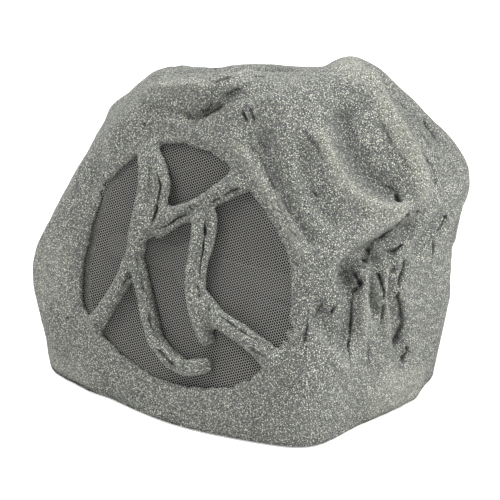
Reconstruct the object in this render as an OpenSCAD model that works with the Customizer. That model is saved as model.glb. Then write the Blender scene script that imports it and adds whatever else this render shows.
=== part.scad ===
// Rock shaped garden speaker.
// A hollow moulded rock stands on a screwed base plate with four rubber feet.
// A perforated sheet closes the front opening behind a net of moulded ribs.
// Behind it a sealed board carries a two way driver, with its crossover on the base.
// The front looks along -Y, +Z is up, and the origin is under the middle of the rock.

/* [Rock] */
// Width of the rounded body that carries the faces of the rock
rock_w = 464; // [430:1:500]
// Depth of the rounded body that carries the faces of the rock
rock_d = 340; // [325:1:370]
// Height of the rounded body that carries the faces of the rock
rock_h = 330; // [320:1:350]
// Wall of the moulded shell
wall = 8; // [6:0.5:10]
// Depth of the deepest crevice
relief_depth = 16; // [8:0.5:20]
// Half width of the deepest crevice
relief_width = 16; // [12:0.5:20]
// Height of the weathered bumps
grain_h = 1.4; // [0:0.1:2]
// Distance from one weathered bump to the next
grain_w = 88; // [60:1:120]
// Gap under the lower rim of the shell
rim_gap = 1.5; // [1:0.5:3]

/* [Opening and ribs] */
// Width of the widest rib
rib_w = 27; // [20:1:32]
// Height of the ribs over the face
rib_h = 13; // [8:0.5:16]
// Gap between the ribs and the sheet behind them
rib_gap = 0.3; // [0.2:0.1:1]

/* [Grille] */
// Depth of the sheet behind the face
grille_depth = 4; // [3:0.5:6]
// Thickness of the perforated sheet
grille_t = 1.2; // [0.8:0.1:2]
// Lap of the sheet behind the edge of the opening
grille_lap = 7; // [5:0.5:8]
// Gap around the sheet in its seat
grille_gap = 0.4; // [0.2:0.1:0.6]
// Diameter of one hole
hole_d = 7; // [4:0.5:8]
// Distance from one hole to the next
hole_pitch = 13; // [12:0.5:20]
// Width of the foam strip that holds the sheet
strip_w = 4; // [3:0.5:6]
// Thickness of the foam strip
strip_t = 3; // [2:0.5:4]

/* [Driver board] */
// Depth of the seat of the board behind the face
board_depth = 24; // [22:0.5:26]
// Thickness of the board
board_t = 12; // [9:0.5:15]
// Lap of the board behind the edge of the opening
board_lap = 13; // [12:0.5:14]
// Thickness of the gasket in front of the board
board_gasket_t = 2; // [1:0.5:3]
// Distance of the board screws outside the opening
ear_out = 12; // [11:0.5:13]
// Radius of a screw ear
ear_r = 7; // [6:0.5:7.5]
// Diameter of a board screw
screw_d = 4; // [3:0.5:4]
// Depth of a screw in the plastic
screw_bite = 12; // [8:0.5:15]

/* [Woofer] */
// Room between the driver flange and the edge of the opening, both sides together
woofer_room = 12; // [8:1:16]
// Width of the driver flange that lies on the board
flange_w = 11; // [10:0.5:12]
// Width from the edge of the cone to the edge of the flange
cone_room = 26; // [25:0.5:30]
// Depth of the cone
cone_h = 33; // [28:1:36]
// Thickness of the cone
cone_t = 1; // [0.8:0.1:1.5]
// Depth of the basket
basket_h = 64; // [60:1:68]
// Sheet thickness of the basket
basket_t = 2.5; // [2:0.1:3]
// Diameter of the voice coil former
coil_d = 40; // [36:1:44]
// Thickness of the former
former_t = 0.5; // [0.4:0.1:0.8]
// Thickness of the winding
winding_t = 0.7; // [0.5:0.1:1]
// Height of the winding
winding_h = 14; // [12:1:16]
// Gap on each side of the coil
coil_gap = 0.6; // [0.4:0.1:1]
// Diameter of the magnet
magnet_d = 110; // [90:1:120]
// Height of the magnet
magnet_h = 18; // [14:1:22]
// Thickness of the steel plates
plate_t = 6; // [5:0.5:8]
// Diameter of the dust cap
cap_d = 62; // [56:1:70]
// Height of the dust cap
cap_h = 12; // [8:1:14]
// Thickness of the surround and the centring ring
soft_t = 1.2; // [0.8:0.1:1.5]

/* [Tweeter] */
// Width of the bridge bar
bridge_w = 22; // [18:1:26]
// Thickness of the bridge bar
bridge_t = 2.5; // [2:0.5:3]
// Diameter of the tweeter housing
tweeter_d = 46; // [40:1:50]
// Height of the tweeter housing
tweeter_h = 12; // [10:0.5:13]
// Diameter of the dome
dome_d = 20; // [18:1:22]
// Diameter of the tweeter magnet
tweeter_magnet_d = 30; // [26:1:34]
// Height of the tweeter magnet
tweeter_magnet_h = 8; // [6:0.5:9]

/* [Base] */
// Height of the rubber feet
foot_h = 6; // [5:0.5:8]
// Diameter of the rubber feet
foot_d = 28; // [24:1:32]
// Thickness of the base plate
base_t = 6; // [5:0.5:8]
// Gap around the base plate
base_gap = 2; // [1:0.1:3]
// Width of the ledge that the base plate is screwed to
ledge_w = 16; // [14:0.5:18]
// Thickness of the ledge
ledge_t = 8; // [6:0.5:9]
// Thickness of the gasket under the ledge
base_gasket_t = 1.5; // [1:0.5:2]
// Diameter of a base screw
base_screw_d = 4; // [3:0.5:5]

/* [Cable gland] */
// Height of the gland over the ground
gland_z = 50; // [46:1:56]
// Distance of the gland to the right of the middle
gland_x = 30; // [0:1:60]
// Diameter of the gland thread
gland_d = 16; // [14:0.5:20]
// Diameter of the cable passage
gland_bore_d = 7; // [6:0.5:8]
// Width of the gland head over its flats
gland_head_w = 22; // [20:0.5:26]
// Length of the gland head outside its seat
gland_head_h = 14; // [12:0.5:16]
// Depth of the pocket that the gland sits in
pocket_depth = 17; // [15:0.5:20]
// Diameter of the pocket
pocket_d = 40; // [36:1:44]

/* [Crossover] */
// Edge of the circuit board beside the large choke
pcb_edge = 13; // [11:0.5:16]
// Thickness of the circuit board
pcb_t = 1.6; // [1.2:0.1:2]
// Height of the standoffs
standoff_h = 8; // [6:0.5:10]
// Diameter of the large choke
choke_d = 44; // [36:1:46]
// Height of the large choke
choke_h = 20; // [16:1:24]
// Diameter of a capacitor
cap_can_d = 16; // [12:0.5:18]
// Length of a capacitor
cap_can_l = 34; // [28:1:36]
// Diameter of one wire
wire_d = 2.6; // [2:0.1:3]

/* [Hidden] */
$fn = 64;
over = 1;

// The form of the rock: flat faces around one centre, with rounded edges between them.
centre_share = 0.427;
shift_share = [0.027, -0.0225];
sharp = 30;
// Each face: turn from the front towards the right, tilt upwards, and its distance from the
// centre as a share of the rounded body that fits the three overall sizes.
face_shares = [
    [0, 15, 0.7485], [-12, -9, 1.075], [14, -8, 1.091], [50, -9, 1.075], [48, 4, 0.985],
    [50, 30, 0.945], [86, -8, 0.8], [122, -9, 0.935], [96, 34, 1.03], [78, 52, 1.13],
    [-60, 86, 1.073], [-145, 68, 1.005], [-50, 48, 0.99], [-57, 29, 0.92],
    [-60, -8, 1.075], [-30, -5, 1.175], [180, 25, 0.992], [180, -5, 1.03], [140, 5, 1],
    [-135, 0, 0.944], [-98, 0, 0.96], [-110, 30, 0.85], [140, 45, 1.1]];
// Each stroke: a path of turns and tilts, its height as a share of the crevice depth and
// its half width as a share of the crevice width.
stroke_shares = [
    [[[-47, -4], [-46, -12]], 0.4, 2.1],
    [[[-51, 30], [-47, 22]], -0.45, 0.9],
    [[[24, 49], [35, 37], [42, 25], [47, 15]], 0.4, 0.6],
    [[[37, 48], [42, 37], [45, 27], [50, 17]], -0.5, 0.55],
    [[[58, 44], [60, 36], [63, 29], [69, 24], [75, 21]], 0.55, 0.6],
    [[[51, 42], [52, 33], [55, 25], [60, 18]], -0.45, 0.6],
    [[[71, 49], [70, 42], [72, 33], [76, 27]], -0.75, 0.8],
    [[[91, 54], [86, 47], [85, 39], [85, 31], [84, 24]], 0.7, 0.75],
    [[[59, 16], [64, 16], [70, 18], [76, 21]], 0.5, 0.7],
    [[[60, 6], [63, 11], [68, 13], [75, 15], [83, 15]], -1.1, 0.7],
    [[[87, 8], [91, 11], [96, 14]], -0.55, 0.55],
    [[[59, 9], [59, 1], [58, -10]], -0.5, 0.5],
    [[[63, 7], [63, -1], [64, -8]], 0.4, 0.45],
    [[[68, 10], [67, 2], [69, -6]], -0.55, 0.45],
    [[[71, 8], [71, -1], [76, -14]], 0.4, 0.45],
    [[[74, 10], [75, 0], [80, -11], [87, -27]], -0.5, 0.5],
    [[[52, -3], [54, -10]], -0.5, 0.75],
    [[[50, -8], [55, -14], [59, -18]], 0.3, 0.6],
    [[[50.5, 0], [50.5, -9]], -0.25, 0.4],
    [[[-42, 55], [-15, 61], [7, 64], [22, 73]], 0.4, 0.7],
    [[[-8, 57], [7, 60], [24, 62], [40, 61]], -0.45, 0.55],
    [[[2, 66], [9, 73], [11, 83]], -0.55, 0.45],
    [[[105, 64], [85, 58]], 0.45, 1.25],
    [[[-65, 76], [-95, 87], [112, 77]], -0.75, 1.6],
    [[[97, 51], [103, 42], [105, 32]], -0.4, 1.25],
    [[[112, 8], [118, -6]], -0.9, 1.1],
    [[[150, 70], [110, 78]], -1, 1.5],
    [[[-100, 66], [-60, 66]], -0.6, 0.9],
    [[[-46, -33], [-33, -36]], 0.5, 1.25],
    [[[93, -37], [79, -34]], 0.95, 1.6],
    [[[-158, 44], [-132, 36], [-106, 42], [-82, 35]], 0.4, 1],
    [[[-160, 30], [-130, 22], [-102, 28], [-78, 20]], -0.45, 0.9],
    [[[-104, 14], [-110, -4], [-102, -22]], -0.4, 0.8],
    [[[-150, 8], [-142, -8], [-148, -24]], 0.35, 1],
    [[[128, 50], [140, 36], [158, 26], [178, 22]], -0.45, 0.9],
    [[[136, 22], [152, 12], [172, 10], [-168, 2]], 0.4, 1],
    [[[134, 4], [130, -12], [136, -28]], -0.4, 0.8]];

// The front face carries the opening, the sheet and the driver in its own frame.
face_tilt = face_shares[0][1];
// Width and height of the opening, and how far it lies to the right of and below the middle
// of its face, as shares of the rock's width and height.
opening_size_share = [0.5172, 0.6788];
opening_place_share = [0.0151, -0.0818];
opening_w = rock_w * opening_size_share.x;
opening_h = rock_h * opening_size_share.y;
opening_right = rock_w * opening_place_share.x;
opening_drop = -rock_h * opening_place_share.y;
// The driver follows the smaller of the two.
woofer_d = min(opening_w, opening_h) - woofer_room;
cutout_d = woofer_d - 2 * flange_w;
cone_d = woofer_d - 2 * cone_room;
// Radius of the opening around its middle, every 15 degrees from the right, anticlockwise.
opening_shares = [
    0.985, 0.965, 0.915, 0.88, 0.89, 0.94, 0.985, 1.03, 1.04, 1.03, 1.02, 0.985,
    0.985, 1.04, 1.1, 1.05, 1, 0.99, 1, 1, 1.035, 1.065, 1.075, 1.035];
opening_steps = 72;
// Ribs: points as shares of half the opening's width and height, then a share of the rib
// width and a share of the rib height at each point.
rib_shares = [
    [[-0.56, 1.07, 1.1, 0.1], [-0.52, 0.86, 0.8, 0.7], [-0.46, 0.62, 0.8, 0.95],
        [-0.47, 0.33, 0.85, 1], [-0.48, 0.04, 0.7, 1], [-0.55, -0.2, 0.65, 0.9],
        [-0.66, -0.43, 0.65, 0.8], [-0.77, -0.64, 0.8, 0.6], [-0.88, -0.84, 1.1, 0.1]],
    [[-0.42, 0.84, 0.6, 0.7], [-0.32, 0.64, 0.6, 0.8], [-0.33, 0.46, 0.6, 0.85],
        [-0.42, 0.28, 0.6, 0.8]],
    [[-0.46, -0.08, 0.7, 0.85], [-0.37, -0.25, 0.65, 0.85], [-0.28, -0.46, 0.7, 0.85],
        [-0.17, -0.68, 0.65, 0.85], [0, -0.8, 0.7, 0.85], [0.15, -0.84, 0.6, 0.8],
        [0.28, -0.79, 0.65, 0.7], [0.36, -0.77, 0.4, 0.4]],
    [[-0.42, 0.24, 0.8, 0.8], [-0.27, 0.35, 0.85, 0.8], [-0.13, 0.43, 0.65, 0.85],
        [0, 0.5, 0.6, 0.9], [0.12, 0.58, 0.65, 0.9], [0.25, 0.69, 0.8, 0.75],
        [0.4, 0.81, 1, 0.5], [0.6, 0.97, 1.3, 0.05]],
    [[0.1, 0.52, 0.8, 0.8], [0.1, 0.36, 0.75, 0.9], [0.11, 0.18, 0.75, 0.9],
        [0.1, 0.02, 0.65, 0.9], [0.13, -0.18, 0.75, 0.9], [0.2, -0.36, 0.85, 0.85],
        [0.29, -0.53, 0.75, 0.6]],
    [[0.22, -0.25, 0.8, 0.8], [0.38, -0.36, 0.72, 0.8], [0.56, -0.42, 0.65, 0.8],
        [0.72, -0.47, 0.75, 0.75], [0.9, -0.56, 0.95, 0.5], [1.04, -0.66, 1.3, 0.05]]];
rib_steps = 12;
ear_angles = [15, 60, 105, 150, 195, 240, 300, 342];

// Steps round and up the two skins of the shell.
side_cols = [37, 35, 14];
side_rows = [6, 21, 12];
inner_share = 0.44;
low_turn = -50;

// Clearances and small sizes that follow no outer size.
fit_gap = 0.3;
glue_gap = 0.1;
seat_gap = 0.8;
head_share = 1.9;
head_t_share = 0.6;
hole_play = 0.6;
woofer_gasket_t = 1.5;
roll_w = 14;
flange_lip = 4;
lip_play = 0.5;
window_turn = 40;
window_margin = 8;
shelf_w = 10;
shelf_reach = 42;
shelf_drop = 12;
pole_vent_d = 10;
magnet_in = 6;
plate_in = 4;
former_rise = 2;
former_drop = 4;
cap_t = 0.8;
wave_h = 1.5;
wave_margin = 3;
bridge_out = 13;
screw_in_board = 8;
dome_t = 0.5;
dome_h = 4;
dome_lip = 0.8;
housing_t = 2;
foot_share = 0.76;
foot_taper = 2;
foot_recess_d = 9;
foot_recess = 3;
foot_turns = [34, 128, -146, -50];

centre = [rock_w * shift_share.x, rock_d * shift_share.y, rock_h * centre_share];
function dir(turn, tilt) = [sin(turn) * cos(tilt), -cos(turn) * cos(tilt), sin(tilt)];
function reach(n) = norm([n.x * rock_w, n.y * rock_d, n.z * rock_h]) / 2;
function total(list) = list * [for (x = list) 1];
faces = [for (f = face_shares) [dir(f[0], f[1]), f[2] * reach(dir(f[0], f[1]))]];
function face_radius(d, inset) =
    pow(total([for (f = faces) pow(max(0, f[0] * d / (f[1] - inset)), sharp)]), -1 / sharp);
function on_face(turn, tilt) = centre + dir(turn, tilt) * face_radius(dir(turn, tilt), 0);
strokes = [for (s = stroke_shares) [[for (q = s[0]) on_face(q[0], q[1])],
    s[1] * relief_depth, s[2] * relief_width]];
function along(p, a, b) = let (ab = b - a, t = max(0, min(1, (p - a) * ab / (ab * ab))))
    norm(p - a - ab * t);
function stroke_gap(p, path) = min([for (i = [0:len(path) - 2]) along(p, path[i], path[i + 1])]);
function relief(p, widen) = total([for (s = strokes)
    s[1] * exp(-pow(stroke_gap(p, s[0]) / (s[2] + widen), 2))]);
function cuts(p, widen) = total([for (s = strokes) if (s[1] < 0)
    s[1] * exp(-pow(stroke_gap(p, s[0]) / (s[2] + widen), 2))]);
function grain(p) = let (q = p * 360 / grain_w)
    grain_h * (sin(q.x + 50 * sin(q.z)) * sin(q.y + 70 * sin(q.x))
        + 0.7 * sin(1.3 * q.z + 80 * sin(q.y)) * sin(0.8 * q.x + 90 * sin(0.7 * q.z)));
function outer_radius(d) = let (r = face_radius(d, 0), p = centre + d * r)
    r + relief(p, 0) + grain(p);
function inner_radius(d) = let (r = face_radius(d, wall), p = centre + d * face_radius(d, 0))
    r + cuts(p, wall);

// Turns and tilts are closer together over the folded right side of the front.
function spaced(ends, counts, part) = let (c = [for (k = counts) max(3, round(k * part))])
    [for (k = [0:len(c) - 1]) for (i = [0:c[k] - 1]) ends[k] + (ends[k + 1] - ends[k]) * i / c[k]];
function turns(part) = spaced([-180, 20, 104, 180], side_cols, part);
function tilts(part) = spaced([low_turn, -16, 42, 90], side_rows, part);

module skin(part, inner) {
    a = turns(part);
    e = tilts(part);
    n = len(a);
    m = len(e);
    ring = [for (t = e) for (u = a) let (d = dir(u, t))
        centre + d * (inner ? inner_radius(d) : outer_radius(d))];
    top = centre + dir(0, 90) * (inner ? inner_radius(dir(0, 90)) : outer_radius(dir(0, 90)));
    low = [centre.x, centre.y, ring[0].z];
    points = concat(ring, [top, low]);
    sides = [for (k = [0:m - 2]) for (i = [0:n - 1]) let (j = (i + 1) % n)
        each [[k * n + i, (k + 1) * n + j, k * n + j], [k * n + i, (k + 1) * n + i, (k + 1) * n + j]]];
    caps = [for (i = [0:n - 1]) let (j = (i + 1) % n)
        each [[(m - 1) * n + i, n * m, (m - 1) * n + j], [j, n * m + 1, i]]];
    polyhedron(points, concat(sides, caps), convexity = 6);
}

// Level outline of the inner wall at a height, drawn in by a gap.
function level_tilt(u, z, inset, k) = k == 0 ? 0 :
    let (t = level_tilt(u, z, inset, k - 1), d = dir(u, t))
    atan2(z - centre.z, face_radius(d, wall + inset) * cos(t));
function level_point(u, z, inset) =
    let (t = level_tilt(u, z, inset, 8), d = dir(u, t), r = face_radius(d, wall + inset))
    [centre.x + d.x * r, centre.y + d.y * r];
function level_outline(z, inset) = [for (u = [0:5:355]) level_point(u, z, inset)];

// The frame of the front face.
face_n = faces[0][0];
face_up = [0, sin(face_tilt), cos(face_tilt)];
face_origin = centre + face_n * faces[0][1] + [opening_right, 0, 0] - face_up * opening_drop;
function to_world(p) = face_origin + [p.x, 0, 0] + face_up * p.y + face_n * p.z;
module on_front() {
    translate(face_origin) rotate([90 - face_tilt, 0, 0]) children();
}

// The opening's outline, smoothed between its 24 radii.
function shared(a) = let (n = len(opening_shares), q = a * n / 360, i = floor(q), f = q - i,
    s = (1 - cos(180 * f)) / 2)
    opening_shares[(i + n) % n] * (1 - s) + opening_shares[(i + 1 + n) % n] * s;
function opening_point(a, out) = let (r = shared(a))
    [(r * opening_w / 2 + out) * cos(a), (r * opening_h / 2 + out) * sin(a)];
function opening_outline(out) =
    [for (i = [0:opening_steps - 1]) opening_point(i * 360 / opening_steps, out)];

// Levels of the driver in the frame of the front face.
strip_z = -grille_depth - grille_t;
board_z = -board_depth - board_gasket_t;
board_back = board_z - board_t;
flange_z = board_back - woofer_gasket_t;
collar_in = grille_lap + grille_gap;
collar_out = board_lap;

module rib_knot(p, steps) {
    translate([p.x * opening_w / 2, p.y * opening_h / 2, -grille_depth])
        scale([p.z * rib_w / 2, p.z * rib_w / 2, grille_depth + rib_h * p[3]])
            sphere(1, $fn = steps);
}

module ribs() {
    on_front() difference() {
        for (r = rib_shares) for (i = [0:len(r) - 2]) hull() {
            rib_knot(r[i], rib_steps);
            rib_knot(r[i + 1], rib_steps);
        }
        translate([-opening_w, -opening_h, -grille_depth + rib_gap - opening_w])
            cube([2 * opening_w, 2 * opening_h, opening_w]);
    }
}

module ear_places(out) {
    for (a = ear_angles) translate(opening_point(a, out)) children();
}

module collar() {
    on_front() translate([0, 0, -board_depth]) {
        linear_extrude(board_depth) polygon(opening_outline(collar_out));
        ear_places(ear_out) cylinder(h = board_depth, r = ear_r, $fn = 20);
    }
}

module gland_place() {
    translate([centre.x + gland_x, gland_face_y, gland_z]) rotate([-90, 0, 0]) children();
}
back_turn = 180;
gland_face_y = level_point(back_turn, gland_z, 0).y + wall - pocket_depth;
gland_wall = wall;

base_z = foot_h;
base_top = base_z + base_t;
ledge_z = base_top + base_gasket_t;
base_screw_turns = [22, 62, 104, 140, 172, -158, -112, -76, -48, -16];
function base_screw_place(u) = let (p = level_point(u, base_z, base_gap),
    v = [centre.x, centre.y] - p) p + v / norm(v) * ledge_w / 2;

module ledge() {
    translate([0, 0, ledge_z]) difference() {
        linear_extrude(ledge_t) square(2 * rock_w, center = true);
        translate([0, 0, -over]) linear_extrude(ledge_t + 2 * over)
            polygon(level_outline(base_z, base_gap + ledge_w));
    }
}

module shell_screw_holes() {
    on_front() translate([0, 0, -board_depth - over]) ear_places(ear_out)
        cylinder(h = screw_bite + over, d = screw_d, $fn = 12);
    for (u = base_screw_turns) translate(concat(base_screw_place(u), [ledge_z - over]))
        cylinder(h = ledge_t + 2 * over, d = base_screw_d, $fn = 12);
}

module rock_shell() {
    color([0.5, 0.51, 0.48]) difference() {
        union() {
            difference() {
                skin(1, false);
                difference() {
                    skin(inner_share, true);
                    collar();
                    ledge();
                    translate([0, -gland_wall, 0]) gland_place()
                        cylinder(h = pocket_depth + gland_wall, d = pocket_d + 2 * wall, $fn = 32);
                }
                on_front() translate([0, 0, -grille_depth - over])
                    linear_extrude(rib_h + grille_depth + relief_depth) polygon(opening_outline(0));
                on_front() translate([0, 0, -board_depth - over])
                    linear_extrude(board_depth + over - grille_depth) polygon(opening_outline(collar_in));
                gland_place() cylinder(h = pocket_depth + relief_depth, d = pocket_d, $fn = 32);
                gland_place() translate([0, 0, -gland_wall - over])
                    cylinder(h = gland_wall + 2 * over, d = gland_d, $fn = 32);
            }
            ribs();
        }
        translate([-rock_w, -rock_d, rim_gap - rock_h]) cube([2 * rock_w, 2 * rock_d, rock_h]);
        translate([0, 0, -over]) linear_extrude(ledge_z + over)
            polygon(level_outline(base_z, base_gap - seat_gap));
        shell_screw_holes();
    }
}

// A pan head screw that points up, with the seat of its head at zero.
module screw(d, length) {
    union() {
        cylinder(h = length, d = d - 2 * fit_gap);
        translate([0, 0, -head_t_share * d]) cylinder(h = head_t_share * d, d = head_share * d);
    }
}

module ring(outer, inner, height) {
    difference() {
        cylinder(h = height, d = outer);
        translate([0, 0, -over]) cylinder(h = height + 2 * over, d = inner);
    }
}

// A wire along its points, with eight flat sides.
wire_sides = 8;
wire_lean = [0.3, 0.5, 0.8];
function unit_of(v) = v / norm(v);
function heading(points, i) = let (n = len(points) - 1)
    unit_of((i < n ? unit_of(points[i + 1] - points[i]) : [0, 0, 0])
        + (i > 0 ? unit_of(points[i] - points[i - 1]) : [0, 0, 0]));
module wire(points) {
    n = len(points);
    rings = [for (i = [0:n - 1]) let (
        t = heading(points, i),
        u = unit_of(cross(t, wire_lean)),
        v = cross(t, u))
        for (k = [0:wire_sides - 1]) let (a = 360 * k / wire_sides)
            points[i] + wire_d / 2 * (u * cos(a) + v * sin(a))];
    sides = [for (i = [0:n - 2]) for (k = [0:wire_sides - 1]) let (
        j = (k + 1) % wire_sides, p = i * wire_sides, q = p + wire_sides)
        each [[p + k, q + j, p + j], [p + k, q + k, q + j]]];
    ends = [[for (k = [0:wire_sides - 1]) k],
        [for (k = [wire_sides - 1:-1:0]) (n - 1) * wire_sides + k]];
    polyhedron(rings, concat(sides, ends));
}

// Perforated sheet.
hole_rows = ceil(opening_h / hole_pitch);
function in_opening(p) = norm(p) + hole_d < norm(opening_point(atan2(p.y, p.x), 0));
module grille() {
    color([0.25, 0.25, 0.24]) on_front() translate([0, 0, strip_z]) difference() {
        linear_extrude(grille_t) polygon(opening_outline(grille_lap));
        for (j = [-hole_rows:hole_rows]) for (i = [-hole_rows:hole_rows])
            let (p = hole_pitch * [i + (j % 2 == 0 ? 0 : 1 / 2), j * sin(60)])
                if (in_opening(p)) translate(concat(p, [-over]))
                    cylinder(h = grille_t + 2 * over, d = hole_d, $fn = 14);
    }
}

module grille_strip() {
    color([0.12, 0.12, 0.12]) on_front() translate([0, 0, strip_z - strip_t]) difference() {
        linear_extrude(strip_t) polygon(opening_outline(grille_lap));
        translate([0, 0, -over]) linear_extrude(strip_t + 2 * over)
            polygon(opening_outline(grille_lap - strip_w));
    }
}

module board_gasket() {
    color([0.1, 0.1, 0.1]) on_front() translate([0, 0, board_z]) difference() {
        linear_extrude(board_gasket_t) polygon(opening_outline(collar_out));
        translate([0, 0, -over]) linear_extrude(board_gasket_t + 2 * over)
            polygon(opening_outline(collar_in));
        translate([0, 0, -over]) ear_places(ear_out)
            cylinder(h = board_gasket_t + 2 * over, d = screw_d + hole_play);
    }
}

woofer_screw_r = woofer_d / 2 - flange_lip;
bridge_screw_x = (cutout_d + bridge_out) / 2;
lead_hole = [woofer_d / 2 + 2.8 * wire_d, -0.9 * bridge_w];
module woofer_screw_places() {
    for (k = [0:7]) rotate(45 * (k + 1 / 2)) translate([woofer_screw_r, 0, 0]) children();
}

module driver_board() {
    color([0.42, 0.33, 0.22]) on_front() difference() {
        union() {
            translate([0, 0, board_back]) linear_extrude(board_t)
                polygon(opening_outline(board_lap));
            translate([0, 0, board_back]) ear_places(ear_out) cylinder(h = board_t, r = ear_r);
        }
        translate([0, 0, board_back - over]) cylinder(h = board_t + 2 * over, d = cutout_d);
        translate([0, 0, board_back - over]) ear_places(ear_out)
            cylinder(h = board_t + 2 * over, d = screw_d + hole_play);
        translate([0, 0, board_back - over]) woofer_screw_places()
            cylinder(h = screw_in_board + 2 * over, d = screw_d);
        for (s = [-1, 1]) translate([s * bridge_screw_x, 0, board_z - screw_in_board - over])
            cylinder(h = screw_in_board + 2 * over, d = screw_d);
        translate([lead_hole.x, lead_hole.y, board_back - over])
            cylinder(h = board_t + 2 * over, d = 3 * wire_d);
    }
}

module board_screws() {
    color([0.75, 0.75, 0.77]) on_front() translate([0, 0, board_back]) ear_places(ear_out)
        screw(screw_d, board_t + board_gasket_t + screw_bite - over);
}

// Woofer, drawn with zero at the front of its flange.
module on_woofer() {
    on_front() translate([0, 0, flange_z]) children();
}
cone_r = cone_d / 2;
coil_r = coil_d / 2;
flange_in = cone_r + roll_w;
shelf_z = -cone_h - shelf_drop;
shelf_out = coil_r + shelf_reach;
shelf_in = shelf_out - shelf_w;
gap_out = coil_r + winding_t + coil_gap;
gap_in = coil_r - former_t - coil_gap;
basket_in = gap_out + magnet_in / 2;
plate_z = -basket_h - plate_t;
magnet_z = plate_z - magnet_h;
back_z = magnet_z - plate_t;

module woofer_gasket() {
    color([0.1, 0.1, 0.1]) on_woofer() difference() {
        ring(woofer_d, 2 * (flange_in + flange_lip + lip_play), woofer_gasket_t);
        translate([0, 0, -over]) woofer_screw_places()
            cylinder(h = woofer_gasket_t + 2 * over, d = screw_d + hole_play);
    }
}

module woofer_basket() {
    color([0.2, 0.2, 0.21]) on_woofer() difference() {
        rotate_extrude() polygon([
            [flange_in, 0], [woofer_d / 2, 0], [woofer_d / 2, -basket_t],
            [flange_in + basket_t, -basket_t], [shelf_out + basket_t, shelf_z - basket_t],
            [shelf_in + basket_t, shelf_z - basket_t], [shelf_in + basket_t, -basket_h],
            [basket_in, -basket_h], [basket_in, -basket_h + basket_t],
            [shelf_in, -basket_h + basket_t], [shelf_in, shelf_z], [shelf_out, shelf_z],
            [flange_in, -basket_t]]);
        for (k = [0:5]) rotate(60 * k) translate([0, 0, shelf_z + window_margin])
            linear_extrude(-shelf_z - 2 * window_margin)
                polygon([[0, 0], woofer_d * [cos(window_turn / 2), -sin(window_turn / 2)],
                    woofer_d * [cos(window_turn / 2), sin(window_turn / 2)]]);
        translate([0, 0, -basket_t - over]) woofer_screw_places()
            cylinder(h = basket_t + 2 * over, d = screw_d + hole_play);
    }
}

cone_steps = 8;
function cone_z(r) = -cone_h * pow((cone_r - r) / (cone_r - coil_r), 1.2);
module woofer_cone() {
    color([0.08, 0.08, 0.09]) on_woofer() rotate_extrude() polygon(concat(
        [for (i = [0:cone_steps]) let (r = cone_r - (cone_r - coil_r - glue_gap) * i / cone_steps)
            [r, cone_z(r)]],
        [for (i = [cone_steps:-1:0]) let (r = cone_r - (cone_r - coil_r - glue_gap) * i / cone_steps)
            [r, cone_z(r) - cone_t]]));
}

module woofer_surround() {
    roll_r = roll_w / 2;
    mid = cone_r + roll_r;
    color([0.13, 0.13, 0.13]) on_woofer() rotate_extrude() polygon(concat(
        [[cone_r - flange_lip, 0], [cone_r - flange_lip, soft_t]],
        [for (a = [165:-15:15]) [mid + roll_r * cos(a), roll_r * sin(a)]],
        [[flange_in, soft_t], [flange_in + flange_lip, soft_t], [flange_in + flange_lip, 0]],
        [for (a = [0:15:180]) [mid + (roll_r - soft_t) * cos(a), (roll_r - soft_t) * sin(a)]]));
}

wave_steps = 32;
function wave_z(r) = let (a = coil_r + wave_margin, b = shelf_in - wave_margin)
    r < a || r > b ? 0 : wave_h * sin(360 * 4 * (r - a) / (b - a));
module centring_ring() {
    inner = coil_r + glue_gap;
    outer = shelf_out - flange_lip / 2;
    color([0.8, 0.66, 0.36]) on_woofer() translate([0, 0, shelf_z]) rotate_extrude() polygon(concat(
        [for (i = [0:wave_steps]) let (r = inner + (outer - inner) * i / wave_steps) [r, wave_z(r)]],
        [for (i = [wave_steps:-1:0]) let (r = inner + (outer - inner) * i / wave_steps)
            [r, wave_z(r) + soft_t]]));
}

module voice_coil() {
    top = -cone_h + former_rise;
    low = plate_z - former_drop;
    middle = -basket_h - plate_t / 2;
    color([0.72, 0.42, 0.22]) on_woofer() difference() {
        union() {
            translate([0, 0, low]) cylinder(h = top - low, r = coil_r);
            translate([0, 0, middle - winding_h / 2])
                cylinder(h = winding_h, r = coil_r + winding_t);
        }
        translate([0, 0, low - over]) cylinder(h = top - low + 2 * over, r = coil_r - former_t);
    }
}

module dust_cap() {
    r = cap_d / 2;
    ball = (r * r + cap_h * cap_h) / (2 * cap_h);
    half = asin(r / ball);
    base = cone_z(r) + fit_gap;
    color([0.06, 0.06, 0.07]) on_woofer() translate([0, 0, base + cap_h - ball])
        rotate_extrude() polygon(concat(
            [for (i = [0:8]) ball * [sin(half * i / 8), cos(half * i / 8)]],
            [for (i = [8:-1:0]) (ball - cap_t) * [sin(half * i / 8), cos(half * i / 8)]]));
}

module top_plate() {
    color([0.55, 0.56, 0.58]) on_woofer() translate([0, 0, plate_z])
        ring(magnet_d - 2 * plate_in, 2 * gap_out, plate_t);
}

module woofer_magnet() {
    color([0.16, 0.16, 0.17]) on_woofer() translate([0, 0, magnet_z])
        ring(magnet_d, 2 * (gap_out + magnet_in), magnet_h);
}

module pole_piece() {
    color([0.55, 0.56, 0.58]) on_woofer() difference() {
        union() {
            translate([0, 0, back_z]) cylinder(h = plate_t, d = magnet_d - 2 * plate_in);
            translate([0, 0, back_z]) cylinder(h = -basket_h - back_z, r = gap_in);
        }
        translate([0, 0, back_z - over])
            cylinder(h = -basket_h - back_z + 2 * over, d = pole_vent_d);
    }
}

module woofer_screws() {
    color([0.75, 0.75, 0.77]) on_woofer() translate([0, 0, -basket_t]) woofer_screw_places()
        screw(screw_d, basket_t + woofer_gasket_t + screw_in_board - over);
}

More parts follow.
